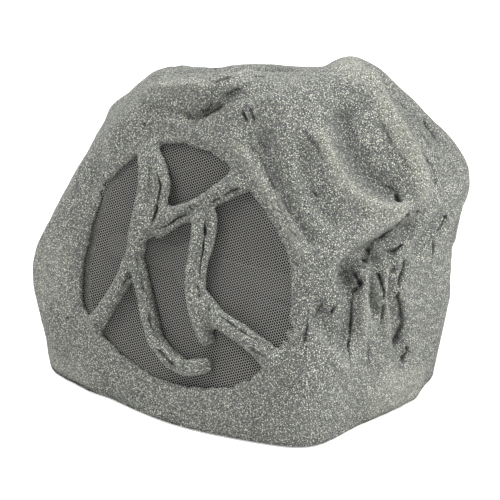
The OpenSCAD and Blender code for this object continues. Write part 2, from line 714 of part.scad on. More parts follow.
// Tweeter on a bar across the front of the board's hole.
bridge_top = board_z + bridge_t;
module tweeter_bridge() {
    color([0.15, 0.15, 0.16]) on_front() translate([0, 0, board_z]) difference() {
        union() {
            translate([-bridge_screw_x, -bridge_w / 2, 0])
                cube([2 * bridge_screw_x, bridge_w, bridge_t]);
            for (s = [-1, 1]) translate([s * bridge_screw_x, 0, 0])
                cylinder(h = bridge_t, d = bridge_w);
        }
        for (s = [-1, 1]) translate([s * bridge_screw_x, 0, -over])
            cylinder(h = bridge_t + 2 * over, d = screw_d + hole_play);
    }
}

module tweeter_housing() {
    color([0.1, 0.1, 0.11]) on_front() translate([0, 0, bridge_top]) difference() {
        cylinder(h = tweeter_h, d = tweeter_d);
        translate([0, 0, housing_t])
            cylinder(h = tweeter_magnet_h + fit_gap, d = tweeter_magnet_d + 2 * fit_gap);
        translate([0, 0, housing_t]) cylinder(h = tweeter_h, d = dome_d + 2 * hole_play);
        translate([0, 0, tweeter_h - housing_t / 2])
            cylinder(h = housing_t, d1 = dome_d + 2 * hole_play, d2 = tweeter_d - housing_t);
    }
}

module tweeter_magnet() {
    color([0.3, 0.3, 0.32]) on_front() translate([0, 0, bridge_top + housing_t])
        cylinder(h = tweeter_magnet_h, d = tweeter_magnet_d);
}

module tweeter_dome() {
    r = dome_d / 2;
    ball = (r * r + dome_h * dome_h) / (2 * dome_h);
    half = asin(r / ball);
    color([0.7, 0.7, 0.72]) on_front()
        translate([0, 0, bridge_top + housing_t + tweeter_magnet_h + dome_t + dome_h - ball])
            rotate_extrude() polygon(concat(
                [for (i = [0:6]) ball * [sin(half * i / 6), cos(half * i / 6)]],
                [for (i = [6:-1:0]) (ball - dome_t) * [sin(half * i / 6), cos(half * i / 6)]]));
}

module bridge_screws() {
    color([0.75, 0.75, 0.77]) on_front() for (s = [-1, 1])
        translate([s * bridge_screw_x, 0, bridge_top]) mirror([0, 0, 1])
            screw(screw_d, bridge_t + screw_in_board - over);
}

// Base plate, feet and screws.
function foot_place(u) = let (c = [centre.x, centre.y])
    c + (level_point(u, base_z, base_gap) - c) * foot_share;
module foot_places() {
    for (u = foot_turns) translate(foot_place(u)) children();
}

module base_plate() {
    color([0.14, 0.14, 0.14]) difference() {
        translate([0, 0, base_z]) linear_extrude(base_t) polygon(level_outline(base_z, base_gap));
        for (u = base_screw_turns) translate(concat(base_screw_place(u), [base_z - over]))
            cylinder(h = base_t + 2 * over, d = base_screw_d + hole_play);
        translate([0, 0, base_z - over]) foot_places()
            cylinder(h = base_t / 2 + over, d = base_screw_d);
        pcb_corners(base_top - base_t / 2) cylinder(h = base_t, d = pcb_screw_d);
    }
}

module base_gasket() {
    color([0.08, 0.08, 0.08]) translate([0, 0, base_top]) difference() {
        linear_extrude(base_gasket_t) polygon(level_outline(base_z, base_gap));
        translate([0, 0, -over]) linear_extrude(base_gasket_t + 2 * over)
            polygon(level_outline(base_z, base_gap + ledge_w));
        for (u = base_screw_turns) translate(concat(base_screw_place(u), [-over]))
            cylinder(h = base_gasket_t + 2 * over, d = base_screw_d + hole_play);
    }
}

module base_screws() {
    color([0.75, 0.75, 0.77]) for (u = base_screw_turns)
        translate(concat(base_screw_place(u), [base_z]))
            screw(base_screw_d, base_t + base_gasket_t + ledge_t);
}

module rubber_feet() {
    color([0.07, 0.07, 0.07]) foot_places() difference() {
        cylinder(h = foot_h, d1 = foot_d - 2 * foot_taper, d2 = foot_d);
        translate([0, 0, -over]) cylinder(h = foot_recess + over, d = foot_recess_d);
        cylinder(h = foot_h + over, d = base_screw_d + hole_play);
    }
}

module foot_screws() {
    color([0.75, 0.75, 0.77]) translate([0, 0, foot_recess]) foot_places()
        screw(base_screw_d, foot_h - foot_recess + base_t / 2 - fit_gap);
}

// Cable gland in its pocket, low in the back.
nut_h = 5;
nut_w = 24;
collar_h = 3;
dome_share = 0.8;
module cable_gland() {
    color([0.09, 0.09, 0.1]) gland_place() difference() {
        union() {
            translate([0, 0, -gland_wall - nut_h - over])
                cylinder(h = gland_wall + nut_h + 2 * over, d = gland_d - 2 * fit_gap);
            cylinder(h = collar_h, d = gland_head_w / cos(30));
            cylinder(h = gland_head_h - collar_h, d = gland_head_w / cos(30), $fn = 6);
            cylinder(h = gland_head_h, d = dome_share * gland_head_w);
        }
        translate([0, 0, -gland_wall - nut_h - 2 * over])
            cylinder(h = gland_wall + nut_h + gland_head_h + 4 * over, d = gland_bore_d);
    }
}

module gland_nut() {
    color([0.09, 0.09, 0.1]) gland_place() translate([0, 0, -gland_wall - nut_h]) difference() {
        cylinder(h = nut_h, d = nut_w / cos(30), $fn = 6);
        translate([0, 0, -over]) cylinder(h = nut_h + 2 * over, d = gland_d);
    }
}

// Crossover on the base plate.
pcb_screw_d = 3;
pcb_margin = 6;
standoff_d = 8;
pcb_place_share = [-0.1336, 0.2118];
strip_size = [40, 16, 14];
strip_out = 58;
small_choke_share = 0.7;
choke_in_share = 0.45;
resistor_size = [44, 10, 10];
part_gap = 4;
pcb_side = 22;
pcb_w = pcb_margin + choke_d + part_gap
    + max(resistor_size.x + pcb_side, cap_can_l + part_gap + cap_can_d + 2 * pcb_margin);
pcb_d = choke_d + 2 * pcb_edge;
pcb_at = [centre.x + rock_w * pcb_place_share.x, centre.y + rock_d * pcb_place_share.y];
pcb_z = base_top + standoff_h;
pcb_top = pcb_z + pcb_t;
module pcb_corners(z) {
    for (i = [-1, 1]) for (j = [-1, 1])
        translate([pcb_at.x + i * (pcb_w / 2 - pcb_margin), pcb_at.y + j * (pcb_d / 2 - pcb_margin), z])
            children();
}

module crossover_board() {
    color([0.1, 0.3, 0.16]) difference() {
        translate([pcb_at.x - pcb_w / 2, pcb_at.y - pcb_d / 2, pcb_z]) cube([pcb_w, pcb_d, pcb_t]);
        pcb_corners(pcb_z - over) cylinder(h = pcb_t + 2 * over, d = pcb_screw_d + hole_play);
    }
}

module standoffs() {
    color([0.8, 0.78, 0.7]) pcb_corners(base_top) ring(standoff_d, pcb_screw_d + hole_play, standoff_h);
}

module crossover_screws() {
    color([0.75, 0.75, 0.77]) pcb_corners(pcb_top) mirror([0, 0, 1])
        screw(pcb_screw_d, pcb_t + standoff_h + base_t / 2 - fit_gap);
}

choke_x = pcb_at.x - pcb_w / 2 + choke_d / 2 + pcb_margin;
small_choke_d = small_choke_share * choke_d;
module chokes() {
    color([0.72, 0.4, 0.2]) {
        translate([choke_x, pcb_at.y, pcb_top]) ring(choke_d, choke_in_share * choke_d, choke_h);
        translate([choke_x + (choke_d + small_choke_d) / 2 + part_gap,
            pcb_at.y + pcb_d / 2 - small_choke_d / 2 - part_gap / 2, pcb_top])
            ring(small_choke_d, choke_in_share * small_choke_d, small_choke_share * choke_h);
    }
}

can_x = pcb_at.x + pcb_w / 2 - cap_can_d / 2 - 2 * pcb_margin;
module capacitors() {
    color([0.75, 0.62, 0.2]) {
        translate([can_x, pcb_at.y - cap_can_l / 2, pcb_top + cap_can_d / 2])
            rotate([-90, 0, 0]) cylinder(h = cap_can_l, d = cap_can_d);
        translate([choke_x + choke_d / 2 + part_gap,
            pcb_at.y - pcb_d / 2 + 3 / 2 * part_gap + resistor_size.y + cap_can_d / 2,
            pcb_top + cap_can_d / 2]) rotate([0, 90, 0]) cylinder(h = cap_can_l, d = cap_can_d);
    }
}

module resistor() {
    color([0.85, 0.84, 0.8]) translate([choke_x + choke_d / 2 + part_gap,
        pcb_at.y - pcb_d / 2 + part_gap, pcb_top]) cube(resistor_size);
}

strip_at = [centre.x + gland_x, gland_face_y - gland_wall - strip_out];
module terminal_strip() {
    color([0.82, 0.82, 0.78]) translate([strip_at.x - strip_size.x / 2, strip_at.y, base_top])
        cube(strip_size);
}

// Inner wiring, two wires to each set.
wire_pitch = 1.75 * wire_d;
pair = [-1 / 2, 1 / 2];
lead_out = 30;
lead_level = pcb_z + pcb_t / 2;
module input_leads() {
    color([0.7, 0.1, 0.08]) for (k = pair) let (
        x = strip_at.x + 3 * k * wire_pitch,
        y = pcb_at.y - pcb_d / 4 - 3 * k * wire_pitch)
        wire([[x, strip_at.y, base_top + strip_size.z / 2], [x, y, base_top + strip_size.z / 2],
            [pcb_at.x + pcb_w / 2, y, lead_level]]);
}

module woofer_leads() {
    r = shelf_in + basket_t + fit_gap;
    z = flange_z - (basket_h - shelf_z) / 2;
    color([0.75, 0.75, 0.74]) for (k = pair) let (
        end = to_world([2 * k * wire_pitch, -r, z]),
        x = pcb_at.x + 2 * k * wire_pitch,
        y = pcb_at.y - pcb_d / 2)
        wire([[x, y, lead_level], [x, y - 2 * lead_out, lead_level],
            to_world([2 * k * wire_pitch, -r - lead_out, z]), end]);
}

module tweeter_leads() {
    color([0.2, 0.3, 0.65]) for (k = pair) let (
        turn = 37.5 - 15 * k,
        side = (tweeter_d / 2 + fit_gap) * [cos(turn), -sin(turn)],
        hole = lead_hole + k * wire_pitch * [sin(45), cos(45)],
        x = pcb_at.x + pcb_w / 4 + 2 * k * wire_pitch,
        y = pcb_at.y - pcb_d / 2)
        wire([to_world(concat(side, [bridge_top + wire_d])),
            to_world(concat(hole, [board_z + wire_d])),
            to_world(concat(hole, [board_back - lead_out / 2])),
            to_world(concat(hole - [0, 2 * lead_out], [board_back - 1.5 * lead_out])),
            [x + pcb_w / 2, y - (2 - k) * lead_out, lead_level],
            [x, y - lead_out / 2, lead_level],
            [x, y, lead_level]]);
}

rock_shell();
grille();
grille_strip();
board_gasket();
driver_board();
board_screws();
woofer_gasket();
woofer_basket();
woofer_cone();
woofer_surround();
centring_ring();
voice_coil();
dust_cap();
top_plate();
woofer_magnet();
pole_piece();
woofer_screws();
tweeter_bridge();
tweeter_housing();
tweeter_magnet();
tweeter_dome();
bridge_screws();
base_plate();
base_gasket();
base_screws();
rubber_feet();
foot_screws();
cable_gland();
gland_nut();
terminal_strip();
crossover_board();
standoffs();
crossover_screws();
chokes();
capacitors();
resistor();
input_leads();
woofer_leads();
tweeter_leads();
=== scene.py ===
"""Looks of the rock shaped garden speaker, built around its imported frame. All lengths are metres."""

from collections import namedtuple
import math
import random

import bmesh
import bpy
import numpy as np
from mathutils import Matrix, Vector, noise
from mathutils.bvhtree import BVHTree


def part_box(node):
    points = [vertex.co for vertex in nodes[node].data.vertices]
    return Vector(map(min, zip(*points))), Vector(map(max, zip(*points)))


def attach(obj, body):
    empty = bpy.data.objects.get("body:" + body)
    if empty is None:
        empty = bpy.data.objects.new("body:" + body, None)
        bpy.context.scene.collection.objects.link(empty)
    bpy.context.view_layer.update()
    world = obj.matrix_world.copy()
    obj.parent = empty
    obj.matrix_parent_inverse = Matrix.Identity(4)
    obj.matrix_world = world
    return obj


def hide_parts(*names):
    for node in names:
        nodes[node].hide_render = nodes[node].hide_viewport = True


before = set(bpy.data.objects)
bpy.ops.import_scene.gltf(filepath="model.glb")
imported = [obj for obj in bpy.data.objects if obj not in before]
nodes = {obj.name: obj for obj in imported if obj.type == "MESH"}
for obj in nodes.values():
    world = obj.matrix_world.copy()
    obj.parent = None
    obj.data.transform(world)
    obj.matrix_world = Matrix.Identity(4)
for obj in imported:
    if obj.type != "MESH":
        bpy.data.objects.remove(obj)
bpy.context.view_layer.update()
MM = 0.001

# The form's centre, from which every direction on the rock is counted, and the plane of the grille's face.
CENTRE = Vector((12.528, -7.65, 140.91)) * MM
FACE_ORIGIN = Vector((19.534, -137.307, 147.705)) * MM
FACE_TILT = math.radians(15)
FACE_ACROSS = Vector((1, 0, 0))
FACE_UP = Vector((0, math.sin(FACE_TILT), math.cos(FACE_TILT)))
FACE_OUT = Vector((0, -math.cos(FACE_TILT), math.sin(FACE_TILT)))

# The camera stands where the photograph was taken from. Each lamp has a place, a width and a power in
# watts.
CAMERA_PLACE = (0.87488, -1.25228, 0.6752)
CAMERA_TARGET = (0.01253, -0.02065, 0.128)
CAMERA_LENS = 115.2
SENSOR_WIDTH = 36
LAMP_TARGET = (0, 0, 0.15)
LAMPS = {
    "key": ((1.75, 0.05, 1.42), 0.7, 41),
    "fill": ((-1.25, -0.7, 2.0), 1.2, 41),
    "top": ((-0.8, 0.6, 2.0), 1.2, 13),
}

# The floor: its radius, and between which distances from the middle its glow rises from half to full
# white. The sky's light is what it gives to everything but the camera.
FLOOR_RADIUS = 9
FLOOR_GLOW_FROM = 0.7
FLOOR_GLOW_TO = 2.2
SKY_LIGHT = 0.34

# The sheet: the distance between its holes, their reach, the turn of their rows, how many rows it has
# before it is trimmed, where it lies, its thickness, and how far its edge stays inside the frame's.
HOLE_PITCH = 2.7 * MM
HOLE_REACH = 1.27 * MM
LATTICE_TURN = math.radians(24.7)
SHEET_ROWS = 130
SHEET_DEPTH = 4.0 * MM
SHEET_THICKNESS = 0.35 * MM
SHEET_MARGIN = 2.0 * MM

# The frame's sheet is measured at every degree, over so many degrees to each side.
RIM_WINDOW = 4

# No hole is made where the rock lies this near in front of a place and of four more around it.
COVER_GAP = 0.1 * MM
COVER_DEPTH = 60 * MM
COVER_STEP = 5 * MM

# The rock's skin: its grid, the shortest edge that is cut finer, a distance from the centre that is
# outside it, the height of relief that counts as full, and how much its inner side is thinned.
VOXEL = 3.0 * MM
SHORTEST_CUT = 0.6 * VOXEL
OUTSIDE_REACH = 0.5
RELIEF_REACH = 9 * MM
INNER_THINNING = 0.8

# How far a place faces away from the centre, from -1 to 1: the least at which it is smoothed, the full
# value for the form, where marks start and over what more they reach their full depth, and the most of
# an inner place.
SMOOTHED_FROM = 0.1
FORM_FULL = 0.3
MARKS_FROM = 0.05
MARKS_RISE = 0.35
INNER_BELOW = -0.25

# The bottom edge is left as the frame has it: the height where form and marks start, and the rise to
# all of them.
FORM_FOOT = 3 * MM
MARKS_FOOT = 2.5 * MM
FOOT_RISE = 8 * MM

# Grain of the whole skin: size and height of the swells, with the heights between which they grow to
# full, and size and height of the fine grain.
SWELL_SIZE = 30 * MM
SWELL_HEIGHT = 0.8 * MM
SWELL_FOOT = 40 * MM
SWELL_RISE = 50 * MM
SWELL_LEAST = 0.3
FINE_SIZE = 8 * MM
FINE_HEIGHT = 0.14 * MM

# Marks run unevenly: the size of their wobble, its share of a mark's width and its most, and its push
# sideways.
WOBBLE_SIZE = 9 * MM
WOBBLE_SHARE = 0.35
WOBBLE_MOST = 1.6 * MM
WOBBLE_SIDE = 1.2 * MM

# A step: how sharply it bends, how far along it has painted shade and a painted highlight, and where its
# band of painted shade and its band of painted highlight lie.
STEP_BEND = 1.8 * MM
STEP_REACH = 6 * MM
STEP_SHADE = 1.6 * MM
STEP_SHADE_REACH = 3.2 * MM
STEP_LIT = -2.5 * MM
STEP_LIT_REACH = 3 * MM

# The skin is made finer at these marks: their kind, least half width and greatest, how far past them,
# and how many cuts an edge gets.
WIDE_CRACK = 2.2 * MM
FINER = [
    ("step", 0, math.inf, 3.0 * MM, 1),
    ("crack", WIDE_CRACK, math.inf, 0.4 * MM, 2),
    ("crack", 0, WIDE_CRACK, 1.0 * MM, 3),
]

# The opening: half its width and height, its edge as a share of them at steps of so many degrees, how
# far from its edge the form starts and is full, and how far from its plane it counts.
OPENING_SIZE = (120 * MM, 112 * MM)
OPENING_EDGE = [0.985, 0.965, 0.915, 0.88, 0.89, 0.94, 0.985, 1.03, 1.04, 1.03, 1.02, 0.985,
                0.985, 1.04, 1.1, 1.05, 1, 0.99, 1, 1, 1.035, 1.065, 1.075, 1.035]
OPENING_STEP = 15
OPENING_GAP = 2 * MM
OPENING_RISE = 10 * MM
OPENING_DEPTH = 40 * MM

# The pocket of the cable gland: its middle across and up, its radius, and the rise to full form around it.
POCKET_ACROSS = 42.5 * MM
POCKET_UP = 50 * MM
POCKET_RADIUS = 21 * MM
POCKET_RISE = 6 * MM

# Thin roots that run beside the ribs: radius, and the places of their middle line on the face, in mm.
# Their balls lie a share of the radius apart.
ROOT_STRIDE = 0.45
ROOTS = [
    (4.8, [(25, 54, 3), (27, 42, 2.5), (26.5, 26, 3), (23, 10, 3), (22, -4, 2.5), (25, -18, 3),
           (32, -32, 2)]),
    (4.6, [(-34, 24, 1), (-26, 30, 2), (-12, 41, 2.5), (2, 49.5, 2), (12, 55, 1)]),
    (4.2, [(-40, 88, 1), (-33, 76, 4), (-30, 66, 5), (-34, 50, 4), (-42, 36, 3)]),
    (5.0, [(42, -34, 3), (58, -38, 4), (75, -42, 3), (94, -52, 2), (108, -60, 0)]),
    (3.8, [(-40, -36, 4), (-32, -56, 4), (-20, -72, 4), (-2, -86, 3)]),
    (6.2, [(28, -88, 1), (37, -87, 1), (40, -84, 0)]),
]

# The ideal form of the shell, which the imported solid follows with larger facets. Faces: turn, tilt and
# distance as a share of the rounded body. Strokes: height and half width as shares of their scale, and
# the way to each point.
BODY = np.array((464, 340, 330)) * MM
EDGE_SHARPNESS = 30
STROKE_SCALE = 16 * MM
FACES = [
    (0, 15, 0.7485), (-12, -9, 1.075), (14, -8, 1.091), (50, -9, 1.075), (48, 4, 0.985), (50, 30, 0.945),
    (86, -8, 0.8), (122, -9, 0.935), (96, 34, 1.03), (78, 52, 1.13), (-60, 86, 1.073), (-145, 68, 1.005),
    (-50, 48, 0.99), (-57, 29, 0.92), (-60, -8, 1.075), (-30, -5, 1.175), (180, 25, 0.992), (180, -5, 1.03),
    (140, 5, 1), (-135, 0, 0.944), (-98, 0, 0.96), (-110, 30, 0.85), (140, 45, 1.1),
]
STROKES = [
    (0.4, 2.1, [(-47, -4), (-46, -12)]),
    (-0.45, 0.9, [(-51, 30), (-47, 22)]),
    (0.4, 0.6, [(24, 49), (35, 37), (42, 25), (47, 15)]),
    (-0.5, 0.55, [(37, 48), (42, 37), (45, 27), (50, 17)]),
    (0.55, 0.6, [(58, 44), (60, 36), (63, 29), (69, 24), (75, 21)]),
    (-0.45, 0.6, [(51, 42), (52, 33), (55, 25), (60, 18)]),
    (-0.75, 0.8, [(71, 49), (70, 42), (72, 33), (76, 27)]),
    (0.7, 0.75, [(91, 54), (86, 47), (85, 39), (85, 31), (84, 24)]),
    (0.5, 0.7, [(59, 16), (64, 16), (70, 18), (76, 21)]),
    (-1.1, 0.7, [(60, 6), (63, 11), (68, 13), (75, 15), (83, 15)]),
    (-0.55, 0.55, [(87, 8), (91, 11), (96, 14)]),
    (-0.5, 0.5, [(59, 9), (59, 1), (58, -10)]),
    (0.4, 0.45, [(63, 7), (63, -1), (64, -8)]),
    (-0.55, 0.45, [(68, 10), (67, 2), (69, -6)]),
    (0.4, 0.45, [(71, 8), (71, -1), (76, -14)]),
    (-0.5, 0.5, [(74, 10), (75, 0), (80, -11), (87, -27)]),
    (-0.5, 0.75, [(52, -3), (54, -10)]),
    (0.3, 0.6, [(50, -8), (55, -14), (59, -18)]),
    (-0.25, 0.4, [(50.5, 0), (50.5, -9)]),
    (0.4, 0.7, [(-42, 55), (-15, 61), (7, 64), (22, 73)]),
    (-0.45, 0.55, [(-8, 57), (7, 60), (24, 62), (40, 61)]),
    (-0.55, 0.45, [(2, 66), (9, 73), (11, 83)]),
    (0.45, 1.25, [(105, 64), (85, 58)]),
    (-0.75, 1.6, [(-65, 76), (-95, 87), (112, 77)]),
    (-0.4, 1.25, [(97, 51), (103, 42), (105, 32)]),
    (-0.9, 1.1, [(112, 8), (118, -6)]),
    (-1, 1.5, [(150, 70), (110, 78)]),
    (-0.6, 0.9, [(-100, 66), (-60, 66)]),
    (0.5, 1.25, [(-46, -33), (-33, -36)]),
    (0.95, 1.6, [(93, -37), (79, -34)]),
    (0.4, 1, [(-158, 44), (-132, 36), (-106, 42), (-82, 35)]),
    (-0.45, 0.9, [(-160, 30), (-130, 22), (-102, 28), (-78, 20)]),
    (-0.4, 0.8, [(-104, 14), (-110, -4), (-102, -22)]),
    (0.35, 1, [(-150, 8), (-142, -8), (-148, -24)]),
    (-0.45, 0.9, [(128, 50), (140, 36), (158, 26), (178, 22)]),
    (0.4, 1, [(136, 22), (152, 12), (172, 10), (-168, 2)]),
    (-0.4, 0.8, [(134, 4), (130, -12), (136, -28)]),
]

# Marks in the rock: kind, half width, depth or height in mm, the blackness of the painted shade in a crack
# or below a step, and the way to each of its points. A groove or crack goes in, a ridge comes out, and a
# step raises the left side of its run and sinks the right.
Mark = namedtuple("Mark", "kind width height black run")
MARKS = [
    ("crack", 2.4, 1.8, 0.59, [(101, 46), (101.5, 44.5), (102, 43.5)]),
    ("crack", 2.2, 1.6, 0.47, [(98, 43.5), (95.5, 41.5), (95.5, 39), (95.5, 37), (96, 34.5), (96, 32.5)]),
    ("crack", 2.8, 2.9, 0.77, [(108, 39), (106, 37), (106.5, 35), (105.5, 33.5)]),
    ("crack", 4.3, 3, 0.77, [(106.5, 34.5), (106, 33.5)]),
    ("crack", 2.3, 2.2, 0.68, [(88.5, 33), (90, 31), (91.5, 29), (92, 27), (91.5, 25.5), (91.5, 23.5),
        (91.5, 23)]),
    ("crack", 2.2, 1.3, 0.34, [(96, 30), (96.5, 27.5)]),
    ("step", 9, 1.6, 0.1, [(81, 44), (81, 41.5), (81, 39), (81, 36.5), (81.5, 33.5), (82, 31)]),
    ("crack", 1.5, 1, 0.3, [(81, 43), (81, 40.5), (81, 39), (81, 36.5)]),
    ("crack", 3, 2.2, 0.9, [(68.5, 29.5), (68.5, 29)]),
    ("crack", 1.9, 1.6, 0.6, [(72.5, 28), (76.5, 28.5), (78, 27), (78.5, 26), (77, 23.5)]),
    ("crack", 3.6, 2.9, 0.9, [(78, 25.5), (77, 23.5), (76.5, 23)]),
    ("crack", 5.2, 2.9, 0.9, [(76, 20.5), (80.5, 18.5)]),
    ("crack", 2.7, 2.2, 0.7, [(82.5, 19.5), (85, 18.5)]),
    ("crack", 2.2, 2.2, 0.59, [(86.5, 17.5), (87, 19)]),
    ("crack", 2.7, 3.4, 0.77, [(99, 14), (99.5, 13)]),
    ("crack", 3.8, 3.4, 0.51, [(96, 10), (98.5, 11.5), (99, 13)]),
    ("crack", 3.2, 2.9, 0.72, [(94, 10.5), (94.5, 8), (95.5, 5.5), (95.5, 3.5)]),
    ("crack", 1.5, 1.5, 0.6, [(53, 31), (54.5, 29.5)]),
    ("crack", 1.5, 1.5, 0.6, [(42, 25.5), (44, 23)]),
    ("crack", 3.6, 4.2, 0.95, [(65.5, 9.5), (68.5, 11.5), (71, 14), (74.5, 14.5), (77, 15), (80, 15.5)]),
    ("crack", 3, 2.2, 0.7, [(80, 15.5), (75.5, 20)]),
    ("crack", 4.4, 4.4, 0.95, [(65.5, 9), (67.5, 10)]),
    ("crack", 3, 3.4, 0.9, [(73, 10.5), (76, 10), (78, 11), (80.5, 11.5)]),
    ("crack", 2.3, 2.9, 0.8, [(62, 7.5), (62, 6), (62.5, 4.5), (61.5, 3), (60.5, 2), (60.5, 1)]),
    ("crack", 2.3, 3.4, 0.9, [(62, 5), (62, 4)]),
    ("crack", 1.9, 2.4, 0.8, [(60.5, 1), (60, -2), (60, -6.5), (60, -9.5), (59.5, -12.5), (60, -16)]),
    ("crack", 3.1, 3.8, 0.95, [(68.5, 6.5), (69, 5), (69.5, 2.5), (70.5, 0), (71, -3)]),
    ("crack", 2.6, 2.2, 0.6, [(71, -3), (71.5, -6), (72, -11)]),
    ("crack", 2.2, 2.2, 0.6, [(77, 5), (76, 3.5)]),
    ("crack", 5.7, 3.4, 0.8, [(79.5, 7), (81, 4.5), (80, 1.5), (80, -2)]),
    ("crack", 5.8, 3.4, 0.75, [(80, -2), (80.5, -5.5), (82.5, -9), (84, -12.5), (85.5, -15.5), (85.5, -19),
        (85.5, -22.5), (84.5, -25)]),
    ("crack", 3.3, 3.8, 0.77, [(89.5, -24), (91, -26), (89, -27.5), (88.5, -28.5)]),
    ("crack", 2.5, 1.7, 0.5, [(67.5, -14), (69, -20.5), (68.5, -22.5)]),
    ("crack", 1.8, 2.2, 0.85, [(56, 0), (54.5, -1.5), (54, -3)]),
    ("crack", 1.7, 1.9, 0.55, [(52, 0.5), (51, -2.5), (50.5, -4)]),
    ("crack", 1.7, 2.2, 0.75, [(48.5, -1), (47.5, -6), (47, -8.5), (46.5, -10)]),
    ("groove", 8, 2, 0.3, [(52, -7), (53, -9), (55, -11.5), (57.5, -13)]),
    ("ridge", 6, 2, 0, [(50.5, -7.5), (54, -12), (57.5, -16.5)]),
    ("ridge", 5, 2, 0, [(62.5, -1), (66.5, -6.5), (68, -9.5)]),
    ("ridge", 4, 1.6, 0, [(68, 7.5), (68.5, 4), (70, -2.5)]),
    ("crack", 1.7, 2.2, 0.85, [(26.5, 57), (28, 55.5), (29.5, 54)]),
    ("crack", 1.7, 2.2, 0.85, [(30.5, 57), (32, 55.5), (33.5, 53)]),
    ("step", 9, 1.6, 0.15, [(32, 48), (35, 45.5), (37.5, 41.5), (40, 36.5), (41.5, 33.5), (42, 29.5),
        (43.5, 25), (45, 20.5)]),
    ("crack", 1.5, 1.5, 0.6, [(32, 48), (35, 45.5), (37.5, 41.5), (40, 36.5), (41.5, 33.5), (42, 29.5)]),
    ("crack", 1.5, 1.1, 0.35, [(42, 29.5), (43.5, 25), (45, 20.5), (47.5, 16.5)]),
    ("step", 10, 2.2, 0.25, [(-7, 58), (2, 59.5), (12.5, 62), (23, 64)]),
    ("crack", 2, 2.2, 0.7, [(-3, 59), (2, 59.5), (6.5, 61)]),
    ("crack", 1.9, 2.2, 0.7, [(13.5, 62), (18.5, 63), (23, 64)]),
    ("crack", 4, 2.9, 0.8, [(5.5, 64), (11.5, 65), (16, 67.5)]),
    ("step", 9, 1.5, 0.2, [(-33, 53), (-26, 54.5), (-15.5, 56.5), (-8, 58.5)]),
    ("step", 9, 1.3, 0.15, [(-37, 55.5), (-27, 58.5), (-16, 60), (-6.5, 62)]),
    ("crack", 3.5, 1.5, 0.6, [(31.5, 70), (42.5, 70)]),
    ("crack", 2.2, 2.4, 0.8, [(-34, 47), (-32.5, 47.5)]),
    ("crack", 2.4, 1.7, 0.7, [(-40, -19.5), (-39.5, -20)]),
    ("crack", 2.8, 1.2, 0.4, [(-47, 14), (-52, 18.5), (-56.5, 24)]),
    ("crack", 2.3, 2.4, 0.9, [(-16.5, 36), (-13, 32), (-13, 24.5), (-13.5, 16.5)]),
    ("crack", 2, 2.4, 0.9, [(-10, 16.5), (-7, 18), (-2, 22), (4.5, 25)]),
    ("crack", 1.9, 2.5, 0.9, [(15, 30), (17.5, 31.5), (19, 32)]),
    ("crack", 1.7, 1.9, 0.75, [(20, 32.5), (23.5, 34), (27, 35)]),
    ("crack", 1.7, 2.4, 0.9, [(12.5, 24), (12.5, 18), (12.5, 11), (12, 5.5), (12.5, 1.5)]),
    ("crack", 2.4, 2.4, 0.9, [(-21.5, -8), (-20.5, -6), (-16, -1.5)]),
    ("crack", 1.8, 2.2, 0.85, [(-15, -2.5), (-12, -8), (-8.5, -13), (-6, -17.5), (-3.5, -21.5)]),
    ("crack", 1.7, 2, 0.8, [(21.5, -9), (26, -10), (29.5, -11), (34, -12), (36.5, -12.5), (38, -14)]),
    ("crack", 1.5, 1.5, 0.7, [(18, -8), (19, -7)]),
    ("crack", 1.9, 1.6, 0.7, [(7, -25), (9.5, -25.5), (12, -24.5), (14.5, -24)]),
    ("crack", 2.6, 2, 0.85, [(-28, -20), (-28, -22), (-27.5, -23.5)]),
    ("crack", 2.4, 2, 0.85, [(-14, 20.5), (-12.5, 24.5)]),
    ("crack", 2.2, 2.2, 0.8, [(-18, 5), (-18, 2), (-16.5, 0)]),
    ("crack", 2.2, 2.4, 0.85, [(-15, -2.5), (-13, -6), (-11.5, -8.5)]),
    ("crack", 2, 1.8, 0.7, [(-15, -9), (-13.5, -12.5)]),
    ("crack", 2.2, 1.8, 0.7, [(-20.5, -5), (-18, -2)]),
    ("crack", 2.2, 2.4, 0.85, [(-8, -15), (-6, -18), (-4, -20.5)]),
    ("crack", 2.2, 2, 0.8, [(-1.5, -23), (3, -25), (7, -26)]),
    ("crack", 2, 2.2, 0.85, [(11.5, -1), (13.5, -5.5)]),
    ("crack", 2.2, 2, 0.75, [(17, -6.5), (18, -8.5)]),
    ("crack", 2.2, 2, 0.8, [(32.5, -14), (36.5, -15)]),
    ("crack", 2, 1.8, 0.7, [(4, 28), (6.5, 26)]),
    ("crack", 2.2, 1.8, 0.6, [(-1, 58), (6, 59.5), (13, 60.5)]),
    ("crack", 2.2, 1.6, 0.45, [(51.5, 48), (55.5, 42.5), (57, 38.5)]),
]

# Marks for the sides that face away from the camera: how many, the seed of their random values, where
# their runs start, and for each kind the limits of its half width and height in mm and how dark its painted
# shade is.
SIDE_MARKS = 26
SIDE_SEED = 7
SIDE_TURNS = (112, 302)
SIDE_TILTS = (-22, 62)
SIDE_WIDTHS = {"step": (8, 12), "crack": (1.5, 3), "groove": (5, 9)}
SIDE_HEIGHTS = {"step": (0.9, 1.6), "crack": (1.5, 3), "groove": (1.2, 2.2)}
SIDE_BLACK = {"step": 0.15, "crack": 0.7, "groove": 0.1}


# Places and measures on the form

def on_face(x, y, out):
    """A place on the plane of the grille's face."""
    return FACE_ORIGIN + FACE_ACROSS * x + FACE_UP * y + FACE_OUT * out


def way(turn, tilt):
    """The unit vector from the centre at a turn to the right of the front and a tilt up, in degrees."""
    turn = math.radians(turn)
    tilt = math.radians(tilt)
    return Vector((math.sin(turn) * math.cos(tilt), -math.cos(turn) * math.cos(tilt), math.sin(tilt)))


def ramp(value, start, rise):
    """0 up to the start, then rising evenly to 1."""
    return np.clip((value - start) / rise, 0, 1)


def fall(distance, reach):
    """1 at no distance, falling evenly to 0 at the reach."""
    return np.clip(1 - distance / reach, 0, 1)


# Camera and lamps

